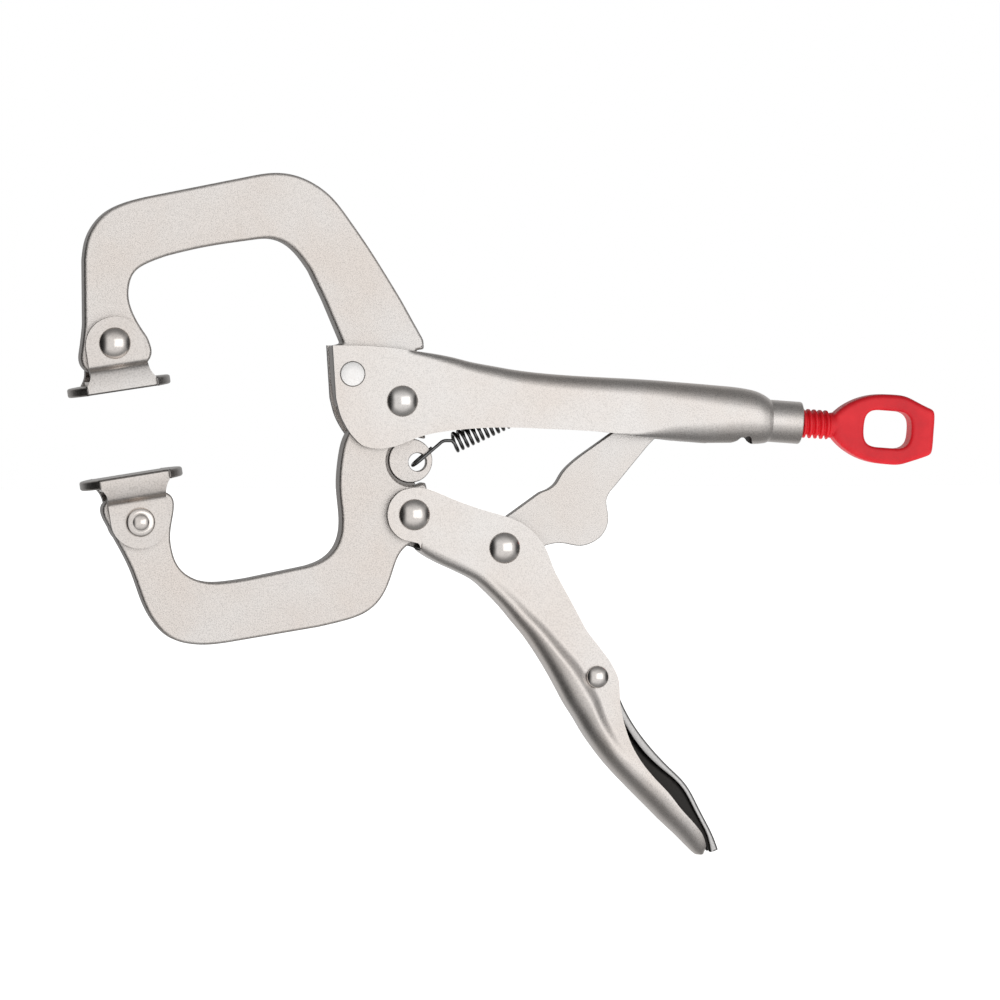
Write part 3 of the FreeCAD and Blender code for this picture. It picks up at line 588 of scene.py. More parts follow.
def lower_arm():
    """The moving arm: a C-shaped plate with the spring's eye in a thin web, spot-faced from both sides."""
    hub, small_hub, recess = 5.8, 5.3, 5.0
    outline = joined(
        round_part(JAW, hub, -40, 205),
        chained(around(JAW, hub, 205),
                [(47.6, -5.9), (45.2, -8.8), (44.2, -11.9), (43.6, -16.5), (43.6, -20.5), (44.0, -24.5),
                 (43.9, -28.2), (42.7, -31.4), (40.2, -33.7), (37.1, -34.9)], [(25.1, -37.3)],
                [(19.1, -38.0), (15.6, -37.6), (12.6, -36.1), (10.8, -33.8), (10.0, -31.2), (9.75, -28.4),
                 (10.3, -24.6), (10.4, -21.6), (9.2, -20.2), (6.0, -19.9)], [(-1.6, -21.1)],
                [(-3.2, -22.2), (-3.7, -23.7), (-3.1, -25.6)], [(0.2, -31.5)],
                [(2.2, -35.6), (4.0, -40.6), (5.5, -44.0), (7.7, -47.1), (10.4, -49.2), (13.6, -50.1),
                 (17.1, -50.3), (21.1, -49.9)], [(39.1, -47.0)],
                [(45.1, -45.6), (48.7, -44.2), (51.2, -42.2), (53.0, -39.4), (54.2, -36.2), (55.2, -33.4),
                 (56.8, -31.2), around(LEVER, small_hub, -78)]),
        round_part(LEVER, small_hub, -78, 55),
        chained(around(LEVER, small_hub, 55), [(61.1, -19.4), (60.9, -18.5)]),
        round_part(BOSS, recess, -58, -302),
        chained((60.9, -9.6), [(60.7, -8.4), around(JAW, hub, -40)]))
    disc = joined(round_part(BOSS, 4.4, 0, 359))
    overlap = joined(round_part(BOSS, 4.4, 75, 285), round_part(BOSS, 5.1, 280, 80))
    eye = joined(round_part(EYE, 1.85, 0, 356))
    thing = new_object("lower_arm_plate", *merged(plate_data(outline, [], ARM_HALF, 0.6),
                                                  plate_data(overlap, [], 0.6, 0.1),
                                                  plate_data(disc, [eye], 1.2, 0.2)))
    # faces in the ring round the web take the dark edge material: a painted shadow in the recess
    for face in thing.data.polygons:
        middle = face.center / MM
        off_boss = math.hypot(middle.x - BOSS[0], middle.z - BOSS[1])
        painted_groove_shade = 4.35 < off_boss < 5.15 and abs(middle.y) < 2.6
        face.material_index = int(painted_groove_shade or on_wall(face))
    finished(thing, "moving_arm", ["lower_arm"], ARM_STEEL, EDGE_SHADE_STEEL)


def toggle_link():
    """The flat toggle plate with its stop lobe."""
    hub, end = 4.4, 3.0
    outline = joined(
        round_part(LINK, hub, 295, 127),
        chained(around(LINK, hub, 127), [(84.4, -20.4)],
                [(86.4, -19.6), (87.7, -18.4), (88.5, -17.0), (90.0, -15.2), (92.4, -13.2)],
                [(102.6, -6.1)], [(106.5, -4.0), (111.5, -3.1), around(SEAT, end, 95)]),
        round_part(SEAT, end, 95, -95),
        chained(around(SEAT, end, -95), [(112.6, -9.1), (109.0, -9.0), (106.2, -11.2)], [(98.6, -20.3)],
                [(97.8, -22.0), (98.1, -24.6), (98.05, -26.9), (96.9, -29.1), (94.8, -30.6),
                 (92.2, -31.2), (89.4, -30.7), (86.0, -30.9), (82.8, -32.4)], [around(LINK, hub, -65)]))
    piece("toggle_link_plate", plate_data(outline, [], 1.5, 0.22), "link", ["toggle_link"],
          ARM_STEEL, EDGE_SHADE_STEEL)


# ---- pressed channels

def eased(knots, values, t):
    """Monotone cubic interpolation: no overshoot between the knots."""
    knots, values = np.array(knots, float), np.array(values, float)
    h = np.diff(knots)
    d = np.diff(values) / h
    m = np.zeros(len(knots))
    m[0], m[-1] = d[0], d[-1]
    for i in range(1, len(knots) - 1):
        if d[i - 1] * d[i] > 0:
            w1, w2 = 2 * h[i] + h[i - 1], h[i] + 2 * h[i - 1]
            m[i] = (w1 + w2) / (w1 / d[i - 1] + w2 / d[i])
    i = np.clip(np.searchsorted(knots, t, side="right") - 1, 0, len(h) - 1)
    s = (t - knots[i]) / h[i]
    return (values[i] * (1 + 2 * s) * (1 - s) ** 2 + m[i] * h[i] * s * (1 - s) ** 2
            + values[i + 1] * s ** 2 * (3 - 2 * s) + m[i + 1] * h[i] * s ** 2 * (s - 1))


FLANK_COLUMNS = 56
SPINE_COLUMNS = 8
PINCH_WIDTH = 2.9      # the height over which a flank is pinched in


def half_profile(height, half, round_y, round_h, low_round, gap, bend):
    """From the mouth's edge up one flank to the spine's middle, as (y, h); bend 0 is a straight flank."""
    quarter = np.linspace(0, math.pi / 2, 24)
    bottom = [(y, 0.0) for y in np.linspace(0, half - low_round, 30)]
    corner = [(half - low_round * (1 - math.sin(a)), low_round * (1 - math.cos(a))) for a in quarter]
    flank = [(half, h) for h in np.linspace(low_round, height - round_h, 40)]
    top = [(half - round_y * (1 - math.cos(a)), height - round_h * (1 - math.sin(a))) for a in quarter]
    line = np.array(bottom + corner + flank + top)
    line = line[(line[:, 0] >= gap - TINY) | (line[:, 1] > low_round)]
    steps = np.concatenate([[0.0], np.cumsum(np.linalg.norm(np.diff(line, axis=0), axis=1))])
    even = np.linspace(0, steps[-1], FLANK_COLUMNS)
    bent = np.stack([np.interp(even, steps, line[:, k]) for k in (0, 1)], axis=1)
    straight = np.stack([np.full(FLANK_COLUMNS, half), np.linspace(0, height, FLANK_COLUMNS)], axis=1)
    side = straight * (1 - bend) + bent * bend
    across = np.linspace(side[-1, 0], 0, SPINE_COLUMNS + 1)[1:]
    return np.concatenate([side, np.stack([across, np.full(SPINE_COLUMNS, side[-1, 1])], axis=1)])


def channel(mouth, back, widths, rounds_y, rounds_h, low_rounds, gaps, bends, spine_from, rows,
            pinches=((0, 0.0), (99, 0.0)), creases=((0, 0.5), (99, 0.5))):
    """A bent sheet: each row runs from the mouth's edge up a flank, over the spine and down the other flank.

    mouth and back are station points in the XZ plane. The other lists are (station, value) pairs: the half
    width, the spine's rounding across and in height, the rounding at the mouth, the half gap left open there,
    how far the flank is bent into that profile, and how far it is pinched in below a crease, which lies at a
    share of the height. The spine is open before the station spine_from."""
    t = np.linspace(0, len(mouth) - 1, rows)
    low, high = (np.stack([eased(np.arange(len(mouth)), np.array(line)[:, k], t) for k in (0, 1)], axis=1)
                 for line in (mouth, back))
    half, round_y, round_h, low_round, gap, bend, pinch, crease = (
        eased(*zip(*pairs), t)
        for pairs in (widths, rounds_y, rounds_h, low_rounds, gaps, bends, pinches, creases))
    columns = 2 * (FLANK_COLUMNS + SPINE_COLUMNS) - 1
    vertices = np.zeros((rows, columns, 3))
    for i in range(rows):
        up = high[i] - low[i]
        height = np.linalg.norm(up)
        up = up / height
        ry = min(round_y[i], half[i] * 0.98)
        rh = min(round_h[i], height * 0.92)
        rb = max(min(low_round[i], height - rh - 0.02, half[i] - 0.02), 0.01)
        side = half_profile(height, half[i], ry, rh, rb, min(gap[i], half[i]), bend[i])
        rise = np.clip((side[:, 1] - crease[i] * height) / PINCH_WIDTH + 0.5, 0, 1)
        side[:, 0] -= pinch[i] * (1 - rise * rise * (3 - 2 * rise)) * (side[:, 1] < height - 0.01)
        both = np.concatenate([side, side[-2::-1] * np.array([-1, 1])])
        vertices[i, :, 1] = both[:, 0]
        vertices[i, :, 0] = low[i, 0] + up[0] * both[:, 1]
        vertices[i, :, 2] = low[i, 1] + up[1] * both[:, 1]
    first = np.searchsorted(t, spine_from)
    faces = []
    for i in range(rows - 1):
        for j in range(columns - 1):
            on_spine = FLANK_COLUMNS - 1 <= j < columns - FLANK_COLUMNS
            if i >= first or not on_spine:
                a = i * columns + j
                faces.append((a, a + 1, a + columns + 1, a + columns))
    return vertices.reshape(-1, 3), faces


def thickened(name, vertices, faces, metal, edge, dark=None):
    """A sheet given its thickness and rounded rims, with the edge material, a painted shade, on its rims and
    on the faces listed in dark.
    """
    thing = new_object(name, vertices, faces)
    for surface in (SHEET_STEEL, EDGE_SHADE_STEEL):
        thing.data.materials.append(surface)
    if dark is not None:
        thing.data.polygons.foreach_set("material_index", dark)
    work = bmesh.new()
    work.from_mesh(thing.data)
    bmesh.ops.delete(work, geom=[v for v in work.verts if not v.link_faces], context="VERTS")
    bmesh.ops.remove_doubles(work, verts=work.verts[:], dist=0.004 * MM)
    bmesh.ops.recalc_face_normals(work, faces=work.faces[:])
    work.to_mesh(thing.data)
    work.free()
    solid = thing.modifiers.new("thickness", "SOLIDIFY")
    solid.thickness = metal * MM
    solid.offset = -1
    solid.use_even_offset = True
    solid.use_quality_normals = True
    # the solidified rims take the second material: painted shade on the sheet's edges
    solid.material_offset_rim = 1
    if edge:
        bevel = thing.modifiers.new("rims", "BEVEL")
        bevel.width = edge * MM
        bevel.segments = 3
        bevel.limit_method = "ANGLE"
        bevel.angle_limit = math.radians(50)
        bevel.harden_normals = True
        # the rounded rims take it too, as thin lines of painted shade
        bevel.material = 1
    thing.data.shade_smooth()
    return applied(thing)


def screw_tube():
    """The tube at the upper handle's rear that holds the screw."""
    axis = np.array(SCREW_AXIS)
    matrix = np.stack([np.cross(axis, (0, 1, 0)), (0, 1, 0), axis], axis=1)
    outer, bore, reach = 4.25, 3.04, 9.5
    profile = [(bore, -reach), (outer, -reach), (outer, -reach), (outer, -0.3), (outer - 0.08, -0.08),
               (outer - 0.3, 0.0), (bore + 0.35, 0.0), (bore + 0.35, 0.0), (bore + 0.12, -0.1),
               (bore, -0.35), (bore, -reach)]
    return new_object("tube", *placed(turned_data(profile), matrix, SCREW_MOUTH))


def upper_handle():
    """The pressed upper handle: open cheeks in front, rolled shut round a tube at the rear."""
    top = [(41.95, 8.95), (43.2, 8.95), (45.0, 8.95), (47.3, 8.9), (49.5, 8.82), (52.0, 8.62), (54.5, 8.35),
           (57.0, 8.03), (59.3, 7.75), (62.5, 7.3), (66.0, 6.65), (70.3, 5.6), (75.0, 4.75), (79.4, 4.0),
           (85.0, 3.35), (91.6, 2.85), (98.0, 2.5), (103.0, 2.25), (107.0, 2.0), (112.0, 1.6), (119.3, 1.0),
           (125.0, 0.45), (128.5, -0.25), (130.4, -1.1), (131.6, -1.98)]
    low = [(42.6, -1.5), (43.4, -4.6), (44.7, -7.3), (46.4, -9.6), (48.3, -11.05), (51.1, -11.55),
           (54.0, -11.2), (56.5, -10.3), (58.9, -9.4), (61.8, -8.6), (65.7, -8.0), (70.3, -7.6), (75.0, -7.4),
           (79.6, -7.45), (85.0, -7.7), (91.6, -8.0), (98.0, -8.5), (103.0, -9.15), (107.0, -9.65),
           (112.0, -10.3), (119.0, -10.9), (124.8, -10.9), (128.3, -10.9), (130.2, -10.75), (131.3, -10.35)]
    rounds = [(0, 0.7), (7, 0.7), (8, 1.1), (10, 2.1), (13, 3.0), (16, 3.4), (18, 3.7), (19, 4.0), (20, 4.5),
              (21, 4.9), (22, 4.9)]
    vertices, faces = channel(
        low, top,
        widths=[(0, CHEEK_FACE), (17, CHEEK_FACE), (18, 4.8), (19, 5.0), (20, 5.2), (21, 5.3), (22, 5.15),
                (23, 4.75), (24, 4.3)],
        rounds_y=rounds + [(24, 4.2)], rounds_h=rounds + [(24, 4.1)],
        low_rounds=[(0, 0.01), (16, 0.01), (17, 0.5), (18, 1.8), (19, 3.6), (20, 4.6), (21, 5.0), (22, 4.9),
                    (24, 4.1)],
        gaps=[(0, 9.0), (16, 5.2), (17, 4.5), (18, 3.3), (19, 1.9), (20.6, 1.9), (21.15, 3.7), (21.5, 3.7),
              (21.9, 0.3), (22.4, 0.03), (24, 0.03)],
        bends=[(0, 0.0), (6.6, 0.0), (8, 1.0), (24, 1.0)],
        spine_from=8.0, rows=340)
    thing = thickened("upper_handle_shell", vertices, faces, SHEET, RIM)
    fused([thing, screw_tube()])
    finished(thing, "frame", ["upper_handle"], SHEET_STEEL, DEEP_EDGE_SHADE_STEEL)


def lever_handle():
    """The pressed lever: open cheeks round the lever rivet, then a creased half-round grip."""
    radius = 5.4
    fan = (5, 22, 43, 65)
    mouth = [around(LEVER, radius, 180 - a) for a in fan] + [
        (58.7, -19.3), (60.6, -19.5), (62.0, -19.9), (63.5, -20.5), (67.6, -22.2), (72.6, -23.9),
        (77.0, -25.2), (81.2, -27.3), (84.7, -31.3), (86.6, -35.9), (88.7, -39.8), (91.0, -44.0),
        (93.2, -48.0), (95.9, -51.5),
        (98.4, -55.0), (99.8, -58.6), (99.95, -62.3), (100.6, -66.0), (102.0, -70.4), (104.0, -74.1),
        (106.6, -77.4), (109.6, -80.6), (112.4, -84.1), (115.1, -87.0), (117.0, -89.5), (117.8, -91.8),
        (117.7, -93.2)]
    back = [around(LEVER, radius, 180 + a) for a in fan] + [
        (58.0, -30.1), (59.2, -30.5), (59.75, -31.9), (60.5, -32.6), (63.4, -34.3), (67.3, -36.1),
        (70.8, -37.9), (74.0, -40.7), (76.6, -43.4), (79.0, -46.3), (81.4, -49.2), (83.6, -52.4),
        (85.7, -55.8), (87.7, -59.4),
        (89.4, -62.6), (91.3, -65.6), (93.2, -68.8), (95.2, -71.7), (97.6, -74.8), (100.1, -77.6),
        (103.0, -80.6), (106.0, -83.6), (109.0, -86.6), (112.0, -89.4), (114.3, -91.7), (116.0, -93.3),
        (117.0, -93.9)]
    last = len(mouth) - 1
    vertices, faces = channel(
        mouth, back,
        widths=[(0, CHEEK_FACE), (8, CHEEK_FACE), (10, 5.0), (12, 5.4), (14, 5.7), (18, 5.8), (22, 5.9),
                (25, 6.0), (26, 5.85), (27, 5.4), (28, 4.6), (29, 3.3), (last, 1.7)],
        rounds_y=[(0, 1.2), (5, 1.2), (8, 2.0), (11, 2.5), (13, 3.0), (15, 3.5), (17, 3.9), (21, 4.6),
                  (25, 5.7), (27, 5.2), (28, 4.4), (29, 3.2), (last, 1.6)],
        rounds_h=[(0, 1.2), (5, 1.2), (8, 1.9), (11, 2.1), (13, 2.7), (15, 3.4), (17, 3.9), (19, 4.1),
                  (21, 4.1), (25, 4.2), (27, 3.8), (28, 3.3), (29, 2.2), (last, 0.6)],
        pinches=[(0, 0.0), (8, 0.0), (10, 0.3), (12, 0.7), (14, 1.0), (18, 1.1), (20, 1.0), (23, 0.4),
                 (26, 0.0), (last, 0.0)],
        creases=[(0, 0.9), (8, 0.84), (11, 0.86), (13, 0.80), (15, 0.68), (17, 0.56), (19, 0.55), (21, 0.50),
                 (24, 0.35), (last, 0.2)],
        low_rounds=[(0, 0.01), (last, 0.01)],
        gaps=[(0, 9.0), (last, 9.0)],
        bends=[(0, 0.0), (5.6, 0.0), (5.97, 1.0), (last, 1.0)],
        spine_from=6.0, rows=360)
    thing = thickened("lever_handle_shell", vertices, faces, LEVER_SHEET, RIM)
    finished(thing, "lever", ["lever_handle"], SHEET_STEEL, DEEP_EDGE_SHADE_STEEL)


def release_strip():
    """The release lever's strip: an inverted U whose flanges are bright at the lip and, below it, carry a
    painted shadow in near-black steel.
    """
    half_thick, half_wide, turn, shadow_columns = 0.6, 2.75, 0.65, 6
    centre = spline([(88.0, -47.4), (91.6, -50.2), (95.3, -52.8), (98.0, -56.6), (99.5, -61.0),
                     (101.6, -65.6), (105.0, -70.6), (109.9, -76.0), (113.5, -79.7), (116.1, -84.4),
                     (118.7, -89.4), (119.95, -92.6)], 120)
    along = np.gradient(centre, axis=0)
    along /= np.linalg.norm(along, axis=1)[:, None]
    left = np.stack([-along[:, 1], along[:, 0]], axis=1)
    share = np.linspace(0, 1, len(centre))
    lip = eased([0, 0.12, 0.3, 0.55, 0.7, 0.9, 1.0], [0.3, 0.4, 0.6, 1.1, 0.45, 0.4, 1.0], share)
    flange = eased([0, 0.12, 0.3, 0.55, 0.75, 0.92, 1.0], [1.4, 3.0, 4.4, 4.2, 3.2, 0.8, 0.05], share)
    corner = [(half_wide - turn * (1 - math.cos(a)), -turn * (1 - math.sin(a)))
              for a in np.linspace(0, math.pi / 2, 6)]
    crown = [(y, 0.12 * (1 - y / 1.85)) for y in (1.4, 0.9, 0.45, 0.0)]
    vertices = []
    for point, normal, edge, depth in zip(centre, left, lip, flange):
        side = [(half_wide - 0.95, -turn - edge - depth * k / 5) for k in range(5, -1, -1)]
        side += [(half_wide - 0.1, -turn - edge), (half_wide, -turn - edge * 0.8),
                 (half_wide, -turn - edge * 0.3)] + corner + crown
        for y, lift in side + [(-y, lift) for y, lift in side[-2::-1]]:
            height = lift + half_thick
            vertices.append((point[0] + normal[0] * height, y, point[1] + normal[1] * height))
    columns = 2 * len(side) - 1
    # the lower flange columns take the near-black steel: a painted shadow inside the lever's mouth
    dark = [int(min(j, columns - 2 - j) < shadow_columns) for j in range(columns - 1)] * (len(centre) - 1)
    return thickened("release_lever_strip", vertices, grid(len(centre), columns), 0.85, 0.0, dark=dark)


def release_lever():
    """The release lever: its strip, and the barrel that turns on the release rivet."""
    hub, bore, half_long, chamfer = 2.65, 1.45, 2.75, 0.2
    profile = [(bore, -half_long), (hub - chamfer, -half_long), (hub, chamfer - half_long),
               (hub, half_long - chamfer), (hub - chamfer, half_long), (bore, half_long), (bore, half_long),
               (bore, -half_long)]
    barrel = new_object("barrel", *placed(turned_data(profile), ALONG_Y, (RELEASE[0], 0, RELEASE[1])))
    finished(fused([release_strip(), barrel]), "release", ["release_lever"], STRIP_STEEL,
             STRIP_SHADOW_STEEL)


# ---- rivets

def dome(radius, rise, steps=14):
    """The cap of a sphere from its rim to its crown, as (radius, height)."""
    sphere = (radius ** 2 + rise ** 2) / (2 * rise)
    turn = math.asin(min(radius / sphere, 1))
    return [(sphere * math.sin(a), rise - sphere * (1 - math.cos(a))) for a in np.linspace(turn, 0, steps)]


def rivet(name, place, face, head, shank, nodes, body, rim=0.22, surface=RIVET_STEEL):
    """A rivet along Y: the same head, standing on a rim, at each end of a shank."""
    foot = head[0][0]
    lip = foot - 0.02
    upper = [(lip, 0.0), (foot, 0.06), (foot, rim)] + [(r, h + rim) for r, h in head[1:]]
    profile = [(r, -face - h) for r, h in upper[::-1]] + 2 * [(lip, -face)] + 2 * [(shank, -face)]
    profile += 2 * [(shank, face)] + 2 * [(lip, face)] + [(r, face + h) for r, h in upper[1:]]
    thing = new_object(name, *placed(turned_data(profile), ALONG_Y, (place[0], 0, place[1])))
    # the outer rim of a flush head takes the dark edge material: a painted shadow line round the head
    if surface is not RIVET_STEEL:
        for polygon in thing.data.polygons:
            middle = polygon.center / MM
            off_axis = math.hypot(middle.x - place[0], middle.z - place[1])
            polygon.material_index = int(off_axis > head[2][0] - 0.02)
    finished(thing, body, nodes, surface, EDGE_SHADE_STEEL)


def rivets():
    """Domed rivets at the pivots, a stepped one in the lower pad and a flush one through the arm's root."""
    big, small = dome(3.1, 1.28), dome(2.2, 0.9)
    stepped = [(2.9, 0.0), (2.86, 0.35), (2.6, 0.62), (2.0, 0.70), (1.62, 0.74), (1.55, 0.80), (1.1, 1.02),
               (0.5, 1.22), (0.15, 1.28), (0.0, 1.28)]
    flush = [(2.55, 0.0), (2.5, 0.05), (2.34, 0.08), (2.3, 0.14), (0.8, 0.2), (0.0, 0.2)]
    thick, thin = 2.15, 1.85
    rivet("jaw_rivet_domed", JAW, CHEEK_FACE, big, thick, ["jaw_pivot_rivet"], "frame")
    rivet("lever_rivet_domed", LEVER, CHEEK_FACE, big, thick, ["lever_rivet"], "lever")
    rivet("link_rivet_domed", LINK, CHEEK_FACE, big, thick, ["link_rivet"], "lever")
    rivet("release_rivet_domed", RELEASE, CHEEK_FACE + 0.35, small, 1.35, ["release_rivet"], "lever")
    rivet("upper_pad_rivet_domed", UPPER_PAD, EAR_FACE, big, thin, ["upper_pad_rivet"], "upper_pad")
    rivet("lower_pad_rivet_stepped", LOWER_PAD, EAR_FACE, stepped, thin, ["lower_pad_rivet"], "lower_pad")
    rivet("arm_fixing_rivet_flush", FIX, CHEEK_FACE, flush, thick, ["arm_fixing_rivet"], "frame", rim=0.02,
          surface=FLUSH_STEEL)


# ---- swivel pads

REACH = 9.5          # from a pad's pivot to the disc's face
DISC_THICK = 1.8
EAR_HALF = 5.8       # half the width of an ear
EAR_CREST = -0.4     # the height where the ear's rounded top starts
FLARE = -5.0         # the height where the foot starts to flare
FOOT_HALF = 6.85     # half the width of the flared foot


def disc_data():
    """A pad's disc: round, with a notch on each side where the saddle's feet stand."""
    radius, notch, foot = 10.25, 5.95, 6.8
    inner = math.degrees(math.acos(foot / radius))
    outline = joined(round_part((0, 0), radius, -inner, inner),
                     [(foot, radius * math.sin(math.radians(inner))), (foot, notch), (-foot, notch)],
                     round_part((0, 0), radius, 180 - inner, 180 + inner),
                     [(-foot, -notch), (foot, -notch)])
    return placed(plate_data(outline, [], DISC_THICK / 2, 0.45), LAID_FLAT, (0, 0, -REACH + DISC_THICK / 2))


def ear_half(z):
    """Half the width of a pad's ear at a height: a rounded top, straight sides and a flared foot."""
    if z > EAR_CREST:
        return EAR_HALF * math.sqrt(max(0.0, 1 - ((z - EAR_CREST) / 5.62) ** 2))
    share = min(1.0, max(0.0, (FLARE - z) / 2.6))
    return EAR_HALF + (FOOT_HALF - EAR_HALF) * share * share


def ear(side):
    """One cheek of a pad's saddle, joggled outward above its foot."""
    upright = spline([(EAR_FACE, 5.2), (EAR_FACE, -3.6)], 30)
    joggle = spline([(EAR_FACE, -3.7), (4.75, -4.25), (5.4, -4.7), (5.95, -5.1), (6.3, -5.9), (6.55, -7.1),
                     (6.7, -8.2), (6.76, -9.15)], 30)
    path = np.concatenate([upright, joggle[1:]])
    across = np.linspace(-1, 1, 33)
    vertices = [(s * ear_half(z), side * y, z) for y, z in path for s in across]
    return thickened("ear", vertices, grid(len(path), len(across), flip=side > 0), 1.45, 0.26)


def saddle_base():
    """The slab that joins a saddle's two cheeks above the disc."""
    half_x, half_y, thick = 6.2, 4.6, 0.8
    outline = joined([(half_x, -half_y), (half_x, half_y), (-half_x, half_y), (-half_x, -half_y)])
    lift = -REACH + DISC_THICK + thick / 2
    return new_object("base", *placed(plate_data(outline, [], thick / 2, 0.12), LAID_FLAT, (0, 0, lift)))


def pad(prefix, place, turn, body):
    """The disc and the saddle of one swivel pad, drawn about its pivot and turned about Y."""
    angle = math.radians(turn)
    matrix = np.array([[math.cos(angle), 0, math.sin(angle)], [0, 1, 0],
                       [-math.sin(angle), 0, math.cos(angle)]])
    shift = (place[0], 0, place[1])
    piece(prefix + "_disc_plate", placed(disc_data(), matrix, shift), body, [prefix + "_disc"],
          DISC_STEEL)
    saddle = fused([ear(-1), ear(1), saddle_base()])
    saddle.name = prefix + "_saddle_bracket"
    moved(saddle, matrix, shift)
    finished(saddle, body, [prefix + "_saddle"], PAD_STEEL, EDGE_SHADE_STEEL)


# ---- the adjusting screw

def thread_mesh():
    """The screw's threaded shank: one helical ridge that runs out before the ring."""
    crest, root, pitch = 2.93, 2.25, 1.2
    start, end, run_out_at, run_out_long = -11.9, 7.0, 6.5, 0.9
    lengths = np.arange(start, end, pitch / 16)
    angles = np.linspace(0, 2 * math.pi, 73)[:-1]
    vertices = []
    for u in lengths:
        run_out = min(1.0, max(0.0, (run_out_at - u) / run_out_long))
        for a in angles:
            phase = (u / pitch - a / (2 * math.pi)) % 1.0
            height = min(1.0, max(0.0, (abs(2 * phase - 1) - 0.14) / 0.62))
            height = height * height * (3 - 2 * height)
            radius = root + (crest - root) * height * run_out
            vertices.append((u, radius * math.cos(a), radius * math.sin(a)))
    rows, count = len(lengths), len(angles)
    faces = tube_faces(rows, count, flip=True)
    first = len(vertices)
    vertices += [(lengths[0], 0, 0), (lengths[-1], 0, 0)]
    for j in range(count):
        k = (j + 1) % count
        faces += [(first, j, k), (first + 1, (rows - 1) * count + k, (rows - 1) * count + j)]
    return np.array(vertices), faces


def eye_ring():
    """The flat ring with its window, melted together with the neck that grows out of the shank."""
    outline = joined(
        chained((6.5, -2.2),
                [(8.0, -3.7), (10.3, -5.25), (12.9, -6.35), (15.6, -6.92), (18.5, -7.08), (20.8, -6.95),
                 (22.6, -6.35), (24.8, -5.5), (26.8, -4.65)],
                [(27.2, -4.2), (27.4, 0.0), (27.2, 4.2), (26.8, 4.65)],
                [(24.8, 5.4), (22.6, 6.35), (20.8, 6.95), (18.5, 7.08), (15.6, 6.92), (12.9, 6.35),
                 (10.3, 5.25), (8.0, 3.7), (6.5, 2.2)]),
        [(6.5, -2.2)])
    window = joined(
        chained((15.7, -3.75), [(20.0, -3.75)],
                [(21.3, -3.4), (22.3, -2.4), (22.62, -1.0), (22.62, 1.0), (22.3, 2.4), (21.3, 3.4),
                 (20.0, 3.75)], [(15.7, 3.75)],
                [(14.0, 3.4), (13.1, 2.4), (12.8, 1.0), (12.8, -1.0), (13.1, -2.4), (14.0, -3.4),
                 (15.7, -3.75)]))
    ring = new_object("ring", *plate_data(outline, [window], 2.7, 1.1, 0.7, bevel_steps=7))
    profile = [(0.0, 5.6), (2.2, 5.6), (2.5, 5.9), (2.62, 6.6), (2.7, 8.0), (2.66, 9.6), (2.2, 11.0),
               (0.0, 11.4)]
    along_x = np.array([[0, 0, 1], [1, 0, 0], [0, 1, 0]])
    fused([ring, new_object("neck", *placed(turned_data(profile, 48), along_x, (0, 0, 0)))])
    melt = ring.modifiers.new("melt", "REMESH")
    melt.mode = "VOXEL"
    melt.voxel_size = 0.16 * MM
    soften = ring.modifiers.new("soften", "SMOOTH")
    soften.factor = 0.5
    soften.iterations = 5
    applied(ring).data.shade_smooth()
    return ring


def eye_screw():
    """The adjusting screw, drawn along X from the tube's mouth and then laid along the screw's axis."""
    axis = np.array(SCREW_AXIS)
    matrix = np.stack([axis, (0, 1, 0), (-axis[2], 0, axis[0])], axis=1)
    vertices, faces = thread_mesh()
    thread = new_object("eye_screw_red", vertices @ matrix.T + np.array(SCREW_MOUTH), faces)
    ring = eye_ring()
    moved(ring, matrix, SCREW_MOUTH)
    finished(fused([thread, ring]), "screw", ["eye_screw"], RED)


# ---- the spring

WIRE = 0.34      # the wire's radius


def swept(points, radius, sides=12):
    """A round wire along the points."""
    points = np.array(points, float)
    along = np.gradient(points, axis=0)
    along /= np.linalg.norm(along, axis=1)[:, None]
    normal = np.cross(along[0], (0.3, 0.9, 0.1))
    vertices, normals = [], []
    angles = np.linspace(0, 2 * math.pi, sides + 1)[:-1]
    for point, direction in zip(points, along):
        normal = normal - direction * np.dot(normal, direction)
        normal /= np.linalg.norm(normal)
        other = np.cross(direction, normal)
        for a in angles:
            out = normal * math.cos(a) + other * math.sin(a)
            vertices.append(point + out * radius)
            normals.append(out)
    faces = tube_faces(len(points), sides)
    faces.append(tuple(range(sides))[::-1])
    faces.append(tuple(range((len(points) - 1) * sides, len(points) * sides)))
    return vertices, faces, normals


def slanted(degrees):
    """A direction in the XZ plane, and the one square to it."""
    angle = math.radians(degrees)
    return np.array([math.cos(angle), 0, math.sin(angle)]), np.array([-math.sin(angle), 0, math.cos(angle)])


def spring_coil(start, length, axis, up, near):
    """The coil's line."""
    radius, turns = 1.8, 18
    coil = []
    for a in np.linspace(math.pi / 2, 2 * math.pi * turns, turns * 40):
        share = a / (2 * math.pi * turns)
        coil.append(start + axis * length * share + up * radius * math.cos(a) + near * radius * math.sin(a))
    return coil


def front_hook(eye, lead, axis, up, near, coil_start):
    """Through the eye from the far side, round the web and up to the coil's near side."""
    bend = 1.2 + WIRE + 0.1
    hook = [eye + lead * 4.4 - near * bend, eye + lead * 2.4 - near * bend]
    for a in np.radians(np.linspace(90, 270, 13)):
        hook.append(eye + lead * (0.6 + bend * math.cos(a)) - near * bend * math.sin(a))
    hook += [eye + lead * reach + near * bend for reach in (2.4, 4.4, 5.6)]
    hook += [eye + lead * 6.3 + near * (bend + 0.1) + axis * 0.35,
             coil_start - axis * 0.75 + up * 0.95, coil_start - axis * 0.25 + up * 0.72]
    return spline(hook, 110)


